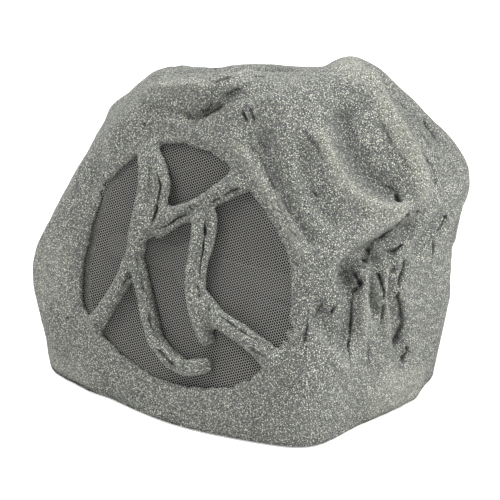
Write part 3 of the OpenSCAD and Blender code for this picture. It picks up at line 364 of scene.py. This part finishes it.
def aim(thing, place, target):
    """Puts a camera or lamp at a place and turns it to a target."""
    thing.location = place
    thing.rotation_euler = (Vector(target) - Vector(place)).to_track_quat("-Z", "Y").to_euler()


def make_camera():
    data = bpy.data.cameras.new("camera")
    data.sensor_width = SENSOR_WIDTH
    data.lens = CAMERA_LENS
    camera = bpy.data.objects.new("camera", data)
    bpy.context.scene.collection.objects.link(camera)
    aim(camera, CAMERA_PLACE, CAMERA_TARGET)
    bpy.context.scene.camera = camera


def make_lamp(name, place, size, power):
    data = bpy.data.lights.new(name, "AREA")
    data.shape = "DISK"
    data.size = size
    data.energy = power
    lamp = bpy.data.objects.new(name, data)
    bpy.context.scene.collection.objects.link(lamp)
    aim(lamp, place, LAMP_TARGET)


# Materials

class Signal:
    """A number in a node tree. Sums with it add their own Math nodes."""

    def __init__(self, tree, socket):
        self.tree = tree
        self.socket = socket

    def maths(self, operation, first, second):
        step = self.tree.nodes.new("ShaderNodeMath")
        step.operation = operation
        for slot, value in zip(step.inputs, (first, second)):
            if isinstance(value, Signal):
                self.tree.links.new(value.socket, slot)
            else:
                slot.default_value = value
        return Signal(self.tree, step.outputs[0])

    def __add__(self, other):
        return self.maths("ADD", self, other)

    def __radd__(self, other):
        return self.maths("ADD", other, self)

    def __sub__(self, other):
        return self.maths("SUBTRACT", self, other)

    def __rsub__(self, other):
        return self.maths("SUBTRACT", other, self)

    def __mul__(self, other):
        return self.maths("MULTIPLY", self, other)

    def __rmul__(self, other):
        return self.maths("MULTIPLY", other, self)


class Shading:
    """A node tree, with one method that makes any node."""

    def __init__(self, tree):
        self.tree = tree

    def node(self, kind, settings=None, values=None, out=0):
        """Makes a node, gives it its settings and then the values or links of its sockets."""
        made = self.tree.nodes.new("ShaderNode" + kind)
        for key, value in (settings or {}).items():
            setattr(made, key, value)
        for key, value in (values or {}).items():
            if isinstance(value, Signal):
                self.tree.links.new(value.socket, made.inputs[key])
            else:
                made.inputs[key].default_value = value
        return Signal(self.tree, made.outputs[out])

    def feed(self, node_name, socket, value):
        """Links a value to a socket of a node that the tree had from the start."""
        self.tree.links.new(value.socket, self.tree.nodes[node_name].inputs[socket])


class Finish(Shading):
    """One procedural material with its Principled shader."""

    def __init__(self, name, **constants):
        self.material = bpy.data.materials.new(name)
        self.material.use_nodes = True
        super().__init__(self.material.node_tree)
        for key, value in constants.items():
            socket = key.replace("_", " ").title().replace("Ior", "IOR")
            self.tree.nodes["Principled BSDF"].inputs[socket].default_value = value
        self.place = self.node("TexCoord", out="Object")

    def noise(self, per_metre, detail=2.0, roughness=0.5):
        return self.node("TexNoise", None, {"Vector": self.place, "Scale": per_metre,
                                            "Detail": detail, "Roughness": roughness})

    def cells(self, per_metre, out="Distance"):
        return self.node("TexVoronoi", None, {"Vector": self.place, "Scale": per_metre}, out)

    def attribute(self, name):
        return self.node("Attribute", {"attribute_name": name}, None, "Fac")

    def along(self, vector, direction):
        """How far a vector goes in a direction."""
        return self.node("VectorMath", {"operation": "DOT_PRODUCT"}, {0: vector, 1: direction}, "Value")

    def band(self, value, low, high):
        """A smooth step from 0 at low to 1 at high, or falling if high is the smaller."""
        return self.node("MapRange", {"interpolation_type": "SMOOTHSTEP", "clamp": True},
                         {0: value, 1: low, 2: high, 3: 0.0, 4: 1.0})

    def mix(self, factor, first, second):
        """The first colour where the factor is 0 and the second where it is 1."""
        first = (*first, 1) if isinstance(first, tuple) else first
        second = (*second, 1) if isinstance(second, tuple) else second
        return self.node("Mix", {"data_type": "RGBA", "clamp_factor": True},
                         {0: factor, 6: first, 7: second}, 2)

    def set(self, name, value):
        self.feed("Principled BSDF", name, value)

    def bump(self, height, distance, strength):
        values = {"Strength": strength, "Distance": distance, "Height": height}
        self.set("Normal", self.node("Bump", None, values))


def stone_finish():
    """Granite coating: grey grit with cream and dark grains, with painted shade in cracks, hollows and below
    steps, and painted highlights on crests, ridges and step edges.
    """
    finish = Finish("stone", specular_ior_level=0.25)
    tone = finish.noise(16, 3, 0.6)
    patch = finish.noise(60, 3, 0.6)
    grit = finish.noise(700, 2, 0.6)
    relief = finish.attribute("relief")
    # The form's folds get painted light and shade: paler where they stand out, darker where they sink.
    fold_highlight = finish.band(relief + patch * 0.5, 0.45, 1.1)
    shaded = finish.band(relief + patch * 0.4, -0.1, -0.8)
    ground = finish.mix(finish.band(grit, 0.36, 0.64), (0.078, 0.084, 0.083), (0.2, 0.207, 0.196))
    ground = finish.mix(finish.band(tone, 0.3, 0.7) * 0.3, ground, (0.21, 0.217, 0.21))
    ground = finish.mix(fold_highlight * 0.5, ground, (0.33, 0.33, 0.285))
    ground = finish.mix(shaded * 0.4, ground, (0.062, 0.067, 0.072))

    def grains(per_metre, channel, least, reach):
        """Grains that fill the cells whose own number passes a least value."""
        own = finish.node("SeparateColor", None, {0: finish.cells(per_metre, "Color")}, channel)
        core = finish.band(finish.cells(per_metre), reach, reach * 0.55)
        return finish.band(own, least, least + 0.05) * core

    dark = grains(720, 2, 0.22, 0.48)
    small_pale = grains(1000, 1, 0.3, 0.42)
    pale = grains(620, 0, 0.3, 0.39)
    # Pale grains thin out in the painted shade of the hollows.
    crowd = (finish.band(patch, 0.25, 0.6) * 0.25 + 0.75) * (1 - shaded * 0.3)
    colour = finish.mix(dark * 0.9, ground, (0.02, 0.022, 0.025))
    colour = finish.mix(small_pale * crowd, colour, (0.56, 0.57, 0.49))
    colour = finish.mix(pale * crowd, colour, (0.92, 0.93, 0.79))
    # Painted highlight on the ridges and on the raised edges of the steps.
    colour = finish.mix(finish.attribute("mark_highlight") * 0.25, colour, (0.34, 0.345, 0.31))
    # Painted shade in the cracks and below the steps.
    colour = finish.mix(finish.attribute("hollow"), colour, (0.012, 0.012, 0.012))
    finish.set("Base Color", colour)
    finish.set("Roughness", grit * 0.2 + 0.72)
    finish.bump(grit * 0.8 + pale * 0.45 + small_pale * 0.25 - dark * 0.45, 0.9 * MM, 0.7)
    return finish.material


def mottled(name, colour, rough, grain=900, depth=0.08 * MM, spread=0.25, **constants):
    """A moulded, painted or pressed surface: its colour wanders a little and it has a fine grain."""
    finish = Finish(name, **constants)
    patch = finish.noise(35, 3, 0.6)
    paler = tuple(min(1.0, c * (1 + spread) + 0.01 * spread) for c in colour)
    finish.set("Base Color", finish.mix(patch, tuple(c * (1 - spread) for c in colour), paler))
    fine = finish.noise(grain, 2)
    finish.set("Roughness", patch * 0.16 + (rough - 0.08) + fine * 0.04)
    finish.bump(fine, depth, 0.6)
    return finish.material


def turned_steel(name, colour, rough):
    """Bright plated steel with faint rub marks."""
    finish = Finish(name, metallic=1.0)
    rub = finish.noise(300, 4, 0.7)
    finish.set("Base Color", finish.mix(rub, tuple(c * 0.82 for c in colour), colour))
    finish.set("Roughness", finish.noise(120, 3) * 0.2 + (rough - 0.1))
    finish.bump(rub, 0.05 * MM, 0.4)
    return finish.material


def woven(name, colour, threads_scale=70):
    """Impregnated cloth: two sets of crossing threads."""
    finish = Finish(name)
    values = {"Vector": finish.place, "Scale": threads_scale, "Distortion": 0.4}
    threads = [finish.node("TexWave", {"wave_type": "BANDS", "bands_direction": axis}, values)
               for axis in "XZ"]
    weave = threads[0] * threads[1]
    finish.set("Base Color", finish.mix(weave, tuple(c * 0.6 for c in colour), colour))
    finish.set("Roughness", weave * 0.1 + 0.8)
    finish.bump(weave, 0.2 * MM, 0.7)
    return finish.material


def painted_grille(hole):
    """Perforated steel under grey powder paint, with painted shade round its holes and on their walls. Takes
    the middle of one hole.
    """
    finish = Finish("painted_grille", specular_ior_level=0.4)
    patch = finish.noise(30, 3, 0.6)
    fine = finish.noise(1500, 2)
    colour = finish.mix(patch, (0.66, 0.665, 0.63), (0.82, 0.825, 0.78))
    colour = finish.mix(finish.band(fine, 0.55, 0.75) * 0.4, colour, (0.9, 0.9, 0.86))

    # Three waves across the rows of holes add up to 3 in each hole's middle and to -1.5 in the webs between.
    waves = 0.0
    for bearing in (90, 210, 330):
        turn = LATTICE_TURN + math.radians(bearing)
        row = FACE_ACROSS * math.cos(turn) + FACE_UP * math.sin(turn)
        run = row * 4 * math.pi / math.sqrt(3) / HOLE_PITCH
        phase = finish.along(finish.place, run) - hole.dot(run)
        waves = finish.node("Math", {"operation": "COSINE"}, {0: phase}) + waves
    # Painted shade darkens the webs towards the holes, leaving a painted highlight in the middle of each
    # web.
    colour = finish.mix(finish.band(waves, -1.49, -0.8), colour, (0.03, 0.03, 0.03))
    # Painted shade on the holes' walls.
    facing = finish.along(finish.node("TexCoord", out="Normal"), FACE_OUT)
    colour = finish.mix(finish.band(facing, 0.95, 0.6), colour, (0.02, 0.02, 0.02))
    finish.set("Base Color", colour)
    finish.set("Roughness", fine * 0.15 + 0.5)
    finish.bump(fine, 0.05 * MM, 0.5)
    return finish.material


# Shared steps of the pieces

def merged_copy(name):
    """A bmesh of a node of the frame, with its loose triangles joined."""
    mesh = bmesh.new()
    mesh.from_mesh(nodes[name].data)
    bmesh.ops.remove_doubles(mesh, verts=mesh.verts, dist=1e-6)
    return mesh


def settle(name, mesh, material, smooth=True):
    """Turns a bmesh into an object at the origin with its material."""
    data = bpy.data.meshes.new(name)
    mesh.to_mesh(data)
    mesh.free()
    for polygon in data.polygons:
        polygon.use_smooth = smooth
    data.materials.append(material)
    piece = bpy.data.objects.new(name, data)
    bpy.context.scene.collection.objects.link(piece)
    return piece


def finish_modifiers(piece):
    """Applies the piece's modifiers and takes them off."""
    depsgraph = bpy.context.evaluated_depsgraph_get()
    depsgraph.update()
    mesh = bpy.data.meshes.new_from_object(piece.evaluated_get(depsgraph))
    old = piece.data
    piece.modifiers.clear()
    piece.data = mesh
    bpy.data.meshes.remove(old)


def read_points(mesh):
    """The mesh's points and their normals."""
    mesh.verts.ensure_lookup_table()
    mesh.normal_update()
    points = np.array([v.co[:] for v in mesh.verts])
    normals = np.array([v.normal[:] for v in mesh.verts])
    return points, normals


def move_points(mesh, places):
    for vertex, place in zip(mesh.verts, places):
        vertex.co = place


# The rock's form

def distances(points, run):
    """For each point its distance to a run, the same signed plus to the right, and how far along it is."""
    nearest = np.full(len(points), math.inf)
    signed = np.zeros(len(points))
    along_run = np.zeros(len(points))
    whole = sum(np.linalg.norm(np.array(end) - np.array(start)) for start, end in zip(run[:-1], run[1:]))
    done = 0.0
    centre = np.array(CENTRE)
    for start, end in zip(run[:-1], run[1:]):
        start = np.array(start)
        along = np.array(end) - start
        length = np.linalg.norm(along)
        share = np.clip((points - start) @ along / length ** 2, 0, 1)
        foot = start + share[:, None] * along
        gap = points - foot
        distance = np.linalg.norm(gap, axis=1)
        outward = foot - centre
        outward /= np.linalg.norm(outward, axis=1)[:, None]
        side = np.einsum("ij,ij->i", gap, np.cross(along / length, outward))
        closer = distance < nearest
        nearest[closer] = distance[closer]
        signed[closer] = side[closer]
        along_run[closer] = (done + share[closer] * length) / whole
        done += length
    return nearest, signed, along_run


def face_radius(ways):
    """The rounded polyhedron's radius in each direction."""
    total = np.zeros(len(ways))
    for turn, tilt, share in FACES:
        normal = np.array(way(turn, tilt))
        distance = share * np.linalg.norm(normal * BODY) / 2
        total += np.maximum(0, ways @ normal / distance) ** EDGE_SHARPNESS
    return total ** (-1 / EDGE_SHARPNESS)


def form(points):
    """The ideal form's radius in the direction of each point, and how high its folds and ledges are."""
    centre = np.array(CENTRE)
    ways = points - centre
    ways /= np.linalg.norm(ways, axis=1)[:, None]
    radius = face_radius(ways)
    feet = centre + ways * radius[:, None]
    relief = np.zeros(len(points))
    for height, width, run in STROKES:
        spokes = np.array([way(*place) for place in run])
        run = centre + spokes * face_radius(spokes)[:, None]
        nearest = distances(feet, run)[0]
        relief += height * STROKE_SCALE * np.exp(-(nearest / width / STROKE_SCALE) ** 2)
    return radius + relief, relief


def outwardness(points, normals):
    """How far each point faces away from the centre, from -1 to 1."""
    spokes = points - np.array(CENTRE)
    spokes /= np.linalg.norm(spokes, axis=1)[:, None]
    return np.einsum("ij,ij->i", spokes, normals)


def noise_at(points, size, octaves=3, offset=0.0):
    """Smooth noise of about that feature size, roughly -1 to 1, at each point."""
    shift = Vector((offset, offset * 1.7, -offset))
    return np.array([noise.fractal(Vector(p) / size + shift, 0.9, 2.1, octaves) for p in points])


def opening_room(points):
    """0 in the opening and on its ribs, 1 from a little outside its edge."""
    flat = points - np.array(FACE_ORIGIN)
    across = flat @ np.array(FACE_ACROSS) / OPENING_SIZE[0]
    upward = flat @ np.array(FACE_UP) / OPENING_SIZE[1]
    outward = flat @ np.array(FACE_OUT)
    bearing = np.degrees(np.arctan2(upward, across)) % 360
    steps = np.arange(len(OPENING_EDGE) + 1) * OPENING_STEP
    edge = np.interp(bearing, steps, OPENING_EDGE + OPENING_EDGE[:1])
    gap = (np.hypot(across, upward) / edge - 1) * min(OPENING_SIZE)
    return np.where(np.abs(outward) > OPENING_DEPTH, 1.0, ramp(gap, OPENING_GAP, OPENING_RISE))


def pocket_room(points):
    """0 in the pocket of the cable gland, 1 from a little outside it."""
    gap = np.hypot(points[:, 0] - POCKET_ACROSS, points[:, 2] - POCKET_UP) - POCKET_RADIUS
    return np.where(points[:, 1] < 0, 1.0, ramp(gap, 0, POCKET_RISE))


# The rock's marks

def side_marks():
    """Marks for the sides that face away from the camera, from a fixed seed."""
    dice = random.Random(SIDE_SEED)
    marks = []
    for _ in range(SIDE_MARKS):
        turn = dice.uniform(*SIDE_TURNS)
        tilt = dice.uniform(*SIDE_TILTS)
        heading = dice.choice([-70, -50, -20, 15, 60, 80]) + dice.uniform(-12, 12)
        run = [(turn, tilt)]
        for _ in range(dice.randint(2, 5)):
            heading += dice.uniform(-28, 28)
            stride = dice.uniform(4, 8)
            turn += stride * math.cos(math.radians(heading)) / max(0.35, math.cos(math.radians(tilt)))
            tilt = max(-28, min(74, tilt + stride * math.sin(math.radians(heading))))
            run.append((turn, tilt))
        kind = dice.choice(["step", "step", "crack", "crack", "groove"])
        widths = {name: dice.uniform(*limits) for name, limits in SIDE_WIDTHS.items()}
        heights = {name: dice.uniform(*limits) for name, limits in SIDE_HEIGHTS.items()}
        marks.append((kind, widths[kind], heights[kind], SIDE_BLACK[kind], run))
    return marks


def placed_marks(mesh):
    """All marks in metres, with their runs laid on the mesh."""
    skin = BVHTree.FromBMesh(mesh)

    def landing(turn, tilt):
        spoke = way(turn, tilt)
        return skin.ray_cast(CENTRE + spoke * OUTSIDE_REACH, -spoke)[0]

    return [Mark(kind, width * MM, height * MM, black, [landing(*place) for place in run])
            for kind, width, height, black, run in MARKS + side_marks()]


def mark_effect(mark, nearest, signed, along):
    """What a mark does at each point: how far it moves it outwards, and how much painted shade and painted
    highlight it gives it.
    """
    nothing = np.zeros(len(nearest))
    if mark.kind == "crack":
        taper = np.clip(8 * along * (1 - along), 0.3, 1)
        nearest = nearest / taper
        lift = -mark.height * fall(nearest, mark.width) ** 1.3 * taper
        # A crack is painted dark along its middle as its shade.
        line = np.clip(1.3 - nearest / (mark.width * 0.62), 0, 1)
        return lift, min(1.0, mark.black * 1.1) * (0.55 + 0.45 * taper) * line, nothing
    if mark.kind == "groove":
        return -mark.height * np.exp(-(nearest / mark.width) ** 2), nothing, nothing
    if mark.kind == "ridge":
        # A ridge gets a painted highlight along its top.
        return mark.height * fall(nearest, mark.width * 1.6) ** 1.2, nothing, fall(nearest, mark.width)
    # A step sinks its right side; it gets a band of painted shade just past its edge on that side and a
    # painted highlight on the raised side.
    lift = -mark.height * np.tanh(signed / STEP_BEND) * np.exp(-(nearest / mark.width) ** 1.5)
    near = fall(nearest, STEP_REACH)
    dark = mark.black * fall(np.abs(signed - STEP_SHADE), STEP_SHADE_REACH) * near
    lit_edge = fall(np.abs(signed - STEP_LIT), STEP_LIT_REACH) * near
    return lift, dark, lit_edge


# The rock

def grow_root(mesh, radius, run):
    """Lays balls along a run on the face. The remesh joins them with the shell."""
    for start, end in zip(run[:-1], run[1:]):
        start = Vector(start)
        end = Vector(end)
        count = max(1, round((end - start).length / (radius * ROOT_STRIDE)))
        for index in range(count + (run[-1] == tuple(end))):
            place = start.lerp(end, index / count)
            bmesh.ops.create_icosphere(mesh, subdivisions=2, radius=radius * MM,
                                       matrix=Matrix.Translation(on_face(*(place * MM))))


def skinned_rock(material):
    """The frame's shell and its thin roots, joined on an even grid."""
    shell = merged_copy("rock_shell")
    for radius, run in ROOTS:
        grow_root(shell, radius, run)
    rock = settle("rock", shell, material)
    skin = rock.modifiers.new("skin", "REMESH")
    skin.mode = "VOXEL"
    skin.voxel_size = VOXEL
    finish_modifiers(rock)
    return rock


def shape_outside(mesh):
    """Smooths the outer skin and moves it onto the ideal form, save at the opening, pocket and foot."""
    outer = outwardness(*read_points(mesh))
    uneven = [v for v, out in zip(mesh.verts, outer) if out > SMOOTHED_FROM]
    bmesh.ops.smooth_vert(mesh, verts=uneven, factor=0.5, use_axis_x=True, use_axis_y=True, use_axis_z=True)
    points, normals = read_points(mesh)
    centre = np.array(CENTRE)
    spokes = points - centre
    share = ramp(outwardness(points, normals), 0, FORM_FULL) * ramp(points[:, 2], FORM_FOOT, FOOT_RISE)
    share *= opening_room(points) * pocket_room(points)
    stretch = form(points)[0] / np.linalg.norm(spokes, axis=1) - 1
    move_points(mesh, centre + spokes * (1 + share * stretch)[:, None])
    mesh.normal_update()


def make_finer(mesh, marks):
    """Cuts the outer skin finer where a step runs, and finer again where a crack runs."""
    for kind, least, most, spare, cuts in FINER:
        points, normals = read_points(mesh)
        close = np.zeros(len(points), bool)
        for mark in marks:
            if mark.kind == kind and least <= mark.width < most:
                close |= distances(points, mark.run)[0] < spare + (mark.width if kind == "crack" else 0)
        close &= outwardness(points, normals) > 0
        chosen = {v for v, c in zip(mesh.verts, close) if c}
        edges = [e for e in mesh.edges
                 if e.verts[0] in chosen and e.verts[1] in chosen and e.calc_length() > SHORTEST_CUT]
        bmesh.ops.subdivide_edges(mesh, edges=edges, cuts=cuts, use_grid_fill=True)


def cut_marks(mesh, marks):
    """Cuts marks and grain into the outer skin. Returns each point's values for the stone's material, which
    paints shade and highlights from them.
    """
    points, normals = read_points(mesh)
    outer = ramp(outwardness(points, normals), MARKS_FROM, MARKS_RISE)
    outer *= ramp(points[:, 2], MARKS_FOOT, FOOT_RISE)
    relief = np.clip(form(points)[1] / RELIEF_REACH, -1, 1) * opening_room(points)
    hollow = np.zeros(len(points))
    mark_highlight = np.zeros(len(points))
    lift = np.zeros(len(points))
    wobble = noise_at(points, WOBBLE_SIZE, 2, 3.3)
    for mark in marks:
        nearest, signed, along = distances(points, mark.run)
        nearest = np.maximum(0, nearest + wobble * min(mark.width * WOBBLE_SHARE, WOBBLE_MOST))
        raised, dark, lit_edge = mark_effect(mark, nearest, signed + wobble * WOBBLE_SIDE, along)
        lift += raised
        hollow = np.maximum(hollow, dark)
        mark_highlight = np.maximum(mark_highlight, lit_edge)
    swell = np.maximum(SWELL_LEAST, ramp(points[:, 2], SWELL_FOOT, SWELL_RISE))
    lift += noise_at(points, SWELL_SIZE, 3, 1.1) * SWELL_HEIGHT * swell
    lift += noise_at(points, FINE_SIZE, 2, 8.2) * FINE_HEIGHT
    low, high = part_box("rock_shell")
    move_points(mesh, np.clip(points + normals * (lift * outer)[:, None], np.array(low), np.array(high)))
    bmesh.ops.triangulate(mesh, faces=[f for f in mesh.faces if len(f.verts) > 4])
    return {"hollow": hollow * outer, "mark_highlight": mark_highlight * outer, "relief": relief * outer}


def thin_inside(rock, inner):
    """Takes most points away from the rock's inner side, where nobody looks."""
    group = rock.vertex_groups.new(name="inside")
    group.add(inner, 1.0, "REPLACE")
    thin = rock.modifiers.new("thin", "DECIMATE")
    thin.ratio = 1 - INNER_THINNING * len(inner) / len(rock.data.vertices)
    thin.vertex_group = group.name
    finish_modifiers(rock)
    rock.vertex_groups.clear()


def make_rock(finishes):
    """The moulded rock: the frame's shell on a fine skin, with its strata, cracks and folds cut in.

    Returns a search tree of its surface.
    """
    rock = skinned_rock(finishes["stone"])
    mesh = bmesh.new()
    mesh.from_mesh(rock.data)
    shape_outside(mesh)
    marks = placed_marks(mesh)
    make_finer(mesh, marks)
    values = cut_marks(mesh, marks)
    inner = [index for index, out in enumerate(outwardness(*read_points(mesh))) if out < INNER_BELOW]
    mesh.to_mesh(rock.data)
    mesh.free()
    for name, numbers in values.items():
        layer = rock.data.attributes.new(name, "FLOAT", "POINT")
        layer.data.foreach_set("value", np.ascontiguousarray(numbers, dtype=np.float32))
    thin_inside(rock, inner)
    for polygon in rock.data.polygons:
        polygon.use_smooth = True
    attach(rock, "rock")
    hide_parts("rock_shell")
    surface = bmesh.new()
    surface.from_mesh(rock.data)
    tree = BVHTree.FromBMesh(surface)
    surface.free()
    return tree


# The grille

def sheet_outline():
    """The middle of the frame's sheet on the face, and how far the sheet goes from it at every degree."""
    old = merged_copy("grille")
    corners = [v.co - FACE_ORIGIN for v in old.verts]
    flat = np.array([(corner.dot(FACE_ACROSS), corner.dot(FACE_UP)) for corner in corners])
    old.free()
    middle = (flat.min(axis=0) + flat.max(axis=0)) / 2
    spokes = flat - middle
    lengths = np.linalg.norm(spokes, axis=1)
    bearings = np.degrees(np.arctan2(spokes[:, 1], spokes[:, 0]))
    turned = [np.abs((bearings - degree + 180) % 360 - 180) for degree in range(360)]
    return middle, [lengths[gap < RIM_WINDOW].max() for gap in turned]


def make_grille(finishes, rock_tree, middle, reach):
    """The perforated sheet: a lattice of triangles whose corners are cut to six-sided holes."""

    def past_edge(place):
        """Whether a place on the lattice lies outside the sheet."""
        bearing = round(math.degrees(math.atan2(place.y, place.x))) % 360
        return place.xy.length > reach[bearing] - SHEET_MARGIN

    def on_sheet(x, y, out=0.0):
        return on_face(x + middle[0], y + middle[1], out - SHEET_DEPTH)

    def covered(x, y):
        """Whether the rock lies in front of a place and of the places around it."""
        around = ((0, 0), (COVER_STEP, 0), (-COVER_STEP, 0), (0, COVER_STEP), (0, -COVER_STEP))
        starts = [on_sheet(x + dx, y + dy, COVER_GAP) for dx, dy in around]
        return all(rock_tree.ray_cast(start, FACE_OUT, COVER_DEPTH)[0] is not None for start in starts)

    sheet = bmesh.new()
    bmesh.ops.create_grid(sheet, x_segments=SHEET_ROWS, y_segments=SHEET_ROWS, size=SHEET_ROWS / 2)
    lean = Matrix(((HOLE_PITCH, HOLE_PITCH / 2, 0, 0), (0, HOLE_PITCH * math.sqrt(0.75), 0, 0), (0, 0, 1, 0),
                   (0, 0, 0, 1)))
    bmesh.ops.transform(sheet, matrix=Matrix.Rotation(LATTICE_TURN, 4, "Z") @ lean, verts=sheet.verts)
    bmesh.ops.triangulate(sheet, faces=sheet.faces, quad_method="SHORT_EDGE")
    outside = [f for f in sheet.faces if past_edge(f.calc_center_median())]
    bmesh.ops.delete(sheet, geom=outside, context="FACES")

    corners = [v for v in sheet.verts if len(v.link_faces) == 6 and not covered(v.co.x, v.co.y)]
    cut = bmesh.ops.bevel(sheet, geom=corners, affect="VERTICES", offset=HOLE_REACH, offset_type="OFFSET",
                          segments=1, profile=0.5, material=-1, clamp_overlap=True)
    bmesh.ops.delete(sheet, geom=[f for f in cut["faces"] if len(f.verts) == 6], context="FACES")
    move_points(sheet, [on_sheet(v.co.x, v.co.y) for v in sheet.verts])
    bmesh.ops.recalc_face_normals(sheet, faces=sheet.faces)
    if sum(f.normal.dot(FACE_OUT) for f in sheet.faces) < 0:
        bmesh.ops.reverse_faces(sheet, faces=sheet.faces)
    bmesh.ops.solidify(sheet, geom=sheet.faces, thickness=SHEET_THICKNESS)
    grille = settle("perforated_grille", sheet, finishes["grille_metal"], smooth=False)
    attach(grille, "rock")
    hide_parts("grille")


# Floor and sky

def make_floor():
    """A pale floor that glows towards the camera alone, more so far away, and keeps the rock's shadow."""
    finish = Finish("pale_floor")
    near = finish.node("Emission", None, {"Color": (1, 1, 1, 1), "Strength": 0.5})
    far = finish.node("Emission", None, {"Color": (1, 1, 1, 1), "Strength": 1.0})
    distance = finish.node("VectorMath", {"operation": "LENGTH"}, {0: finish.place}, "Value")
    rise = finish.band(distance, FLOOR_GLOW_FROM, FLOOR_GLOW_TO)
    shine = finish.node("MixShader", None, {0: rise, 1: near, 2: far})
    rays = finish.node("LightPath", None, None, "Is Camera Ray")
    matt = finish.node("BsdfDiffuse", None, {"Color": (0.9, 0.9, 0.895, 1)})
    dark = finish.node("Emission", None, {"Strength": 0.0})
    glow = finish.node("MixShader", None, {0: rays, 1: dark, 2: shine})
    finish.feed("Material Output", "Surface", finish.node("AddShader", None, {0: matt, 1: glow}))
    floor = bmesh.new()
    bmesh.ops.create_circle(floor, cap_ends=True, segments=96, radius=FLOOR_RADIUS)
    settle("floor", floor, finish.material, smooth=False)


def make_sky():
    """Plain white to the camera and through glass, and a soft light for everything else."""
    world = bpy.data.worlds.new("studio")
    bpy.context.scene.world = world
    world.use_nodes = True
    sky = Shading(world.node_tree)
    camera = sky.node("LightPath", None, None, "Is Camera Ray")
    through = sky.node("LightPath", None, None, "Is Transmission Ray")
    seen = sky.node("Math", {"operation": "MAXIMUM"}, {0: camera, 1: through})
    world.node_tree.nodes["Background"].inputs["Color"].default_value = (1, 1, 1, 1)
    sky.feed("Background", "Strength", sky.node("MapRange", None, {0: seen, 3: SKY_LIGHT, 4: 1.0}))


make_camera()
make_sky()
make_floor()
for lamp_name, lamp in LAMPS.items():
    make_lamp(lamp_name, *lamp)

sheet_middle, sheet_reach = sheet_outline()
finishes = {
    "stone": stone_finish(),
    "grille_metal": painted_grille(on_face(*sheet_middle, -SHEET_DEPTH)),
    "black_plastic": mottled("black_plastic", (0.022, 0.022, 0.023), 0.5),
    "rubber": mottled("rubber", (0.016, 0.016, 0.016), 0.85, 500, 0.1 * MM),
    "board": mottled("board", (0.012, 0.012, 0.012), 0.8, 600, 0.2 * MM),
    "screw_steel": turned_steel("screw_steel", (0.62, 0.61, 0.59), 0.32),
    "basket_steel": mottled("basket_steel", (0.03, 0.03, 0.031), 0.45),
    "plate_steel": turned_steel("plate_steel", (0.55, 0.56, 0.55), 0.4),
    "magnet": mottled("magnet", (0.045, 0.044, 0.045), 0.6, 700, 0.1 * MM),
    "cone": mottled("cone", (0.018, 0.018, 0.019), 0.7, 800, 0.1 * MM),
    "coil": mottled("coil", (0.45, 0.17, 0.06), 0.35, metallic=1.0),
    "cloth": woven("cloth", (0.3, 0.2, 0.08)),
    "dome": woven("dome", (0.03, 0.03, 0.035), 130),
    "circuit_board": mottled("circuit_board", (0.02, 0.13, 0.05), 0.4),
    "capacitor": mottled("capacitor", (0.35, 0.17, 0.03), 0.35),
    "ceramic": mottled("ceramic", (0.72, 0.71, 0.68), 0.6),
    "wire_light": mottled("wire_light", (0.5, 0.5, 0.48), 0.45),
    "wire_red": mottled("wire_red", (0.4, 0.02, 0.015), 0.4),
    "wire_blue": mottled("wire_blue", (0.01, 0.014, 0.03), 0.5),
}
for node in nodes.values():
    for slot in node.material_slots:
        slot.material = finishes[slot.material.name.split(".")[0]]
# These screws show through the holes of the sheet, so they are painted as the driver's basket is.
nodes["bridge_screws"].material_slots[0].material = finishes["basket_steel"]

make_grille(finishes, make_rock(finishes), sheet_middle, sheet_reach)

bpy.context.scene.view_settings.view_transform = "Standard"
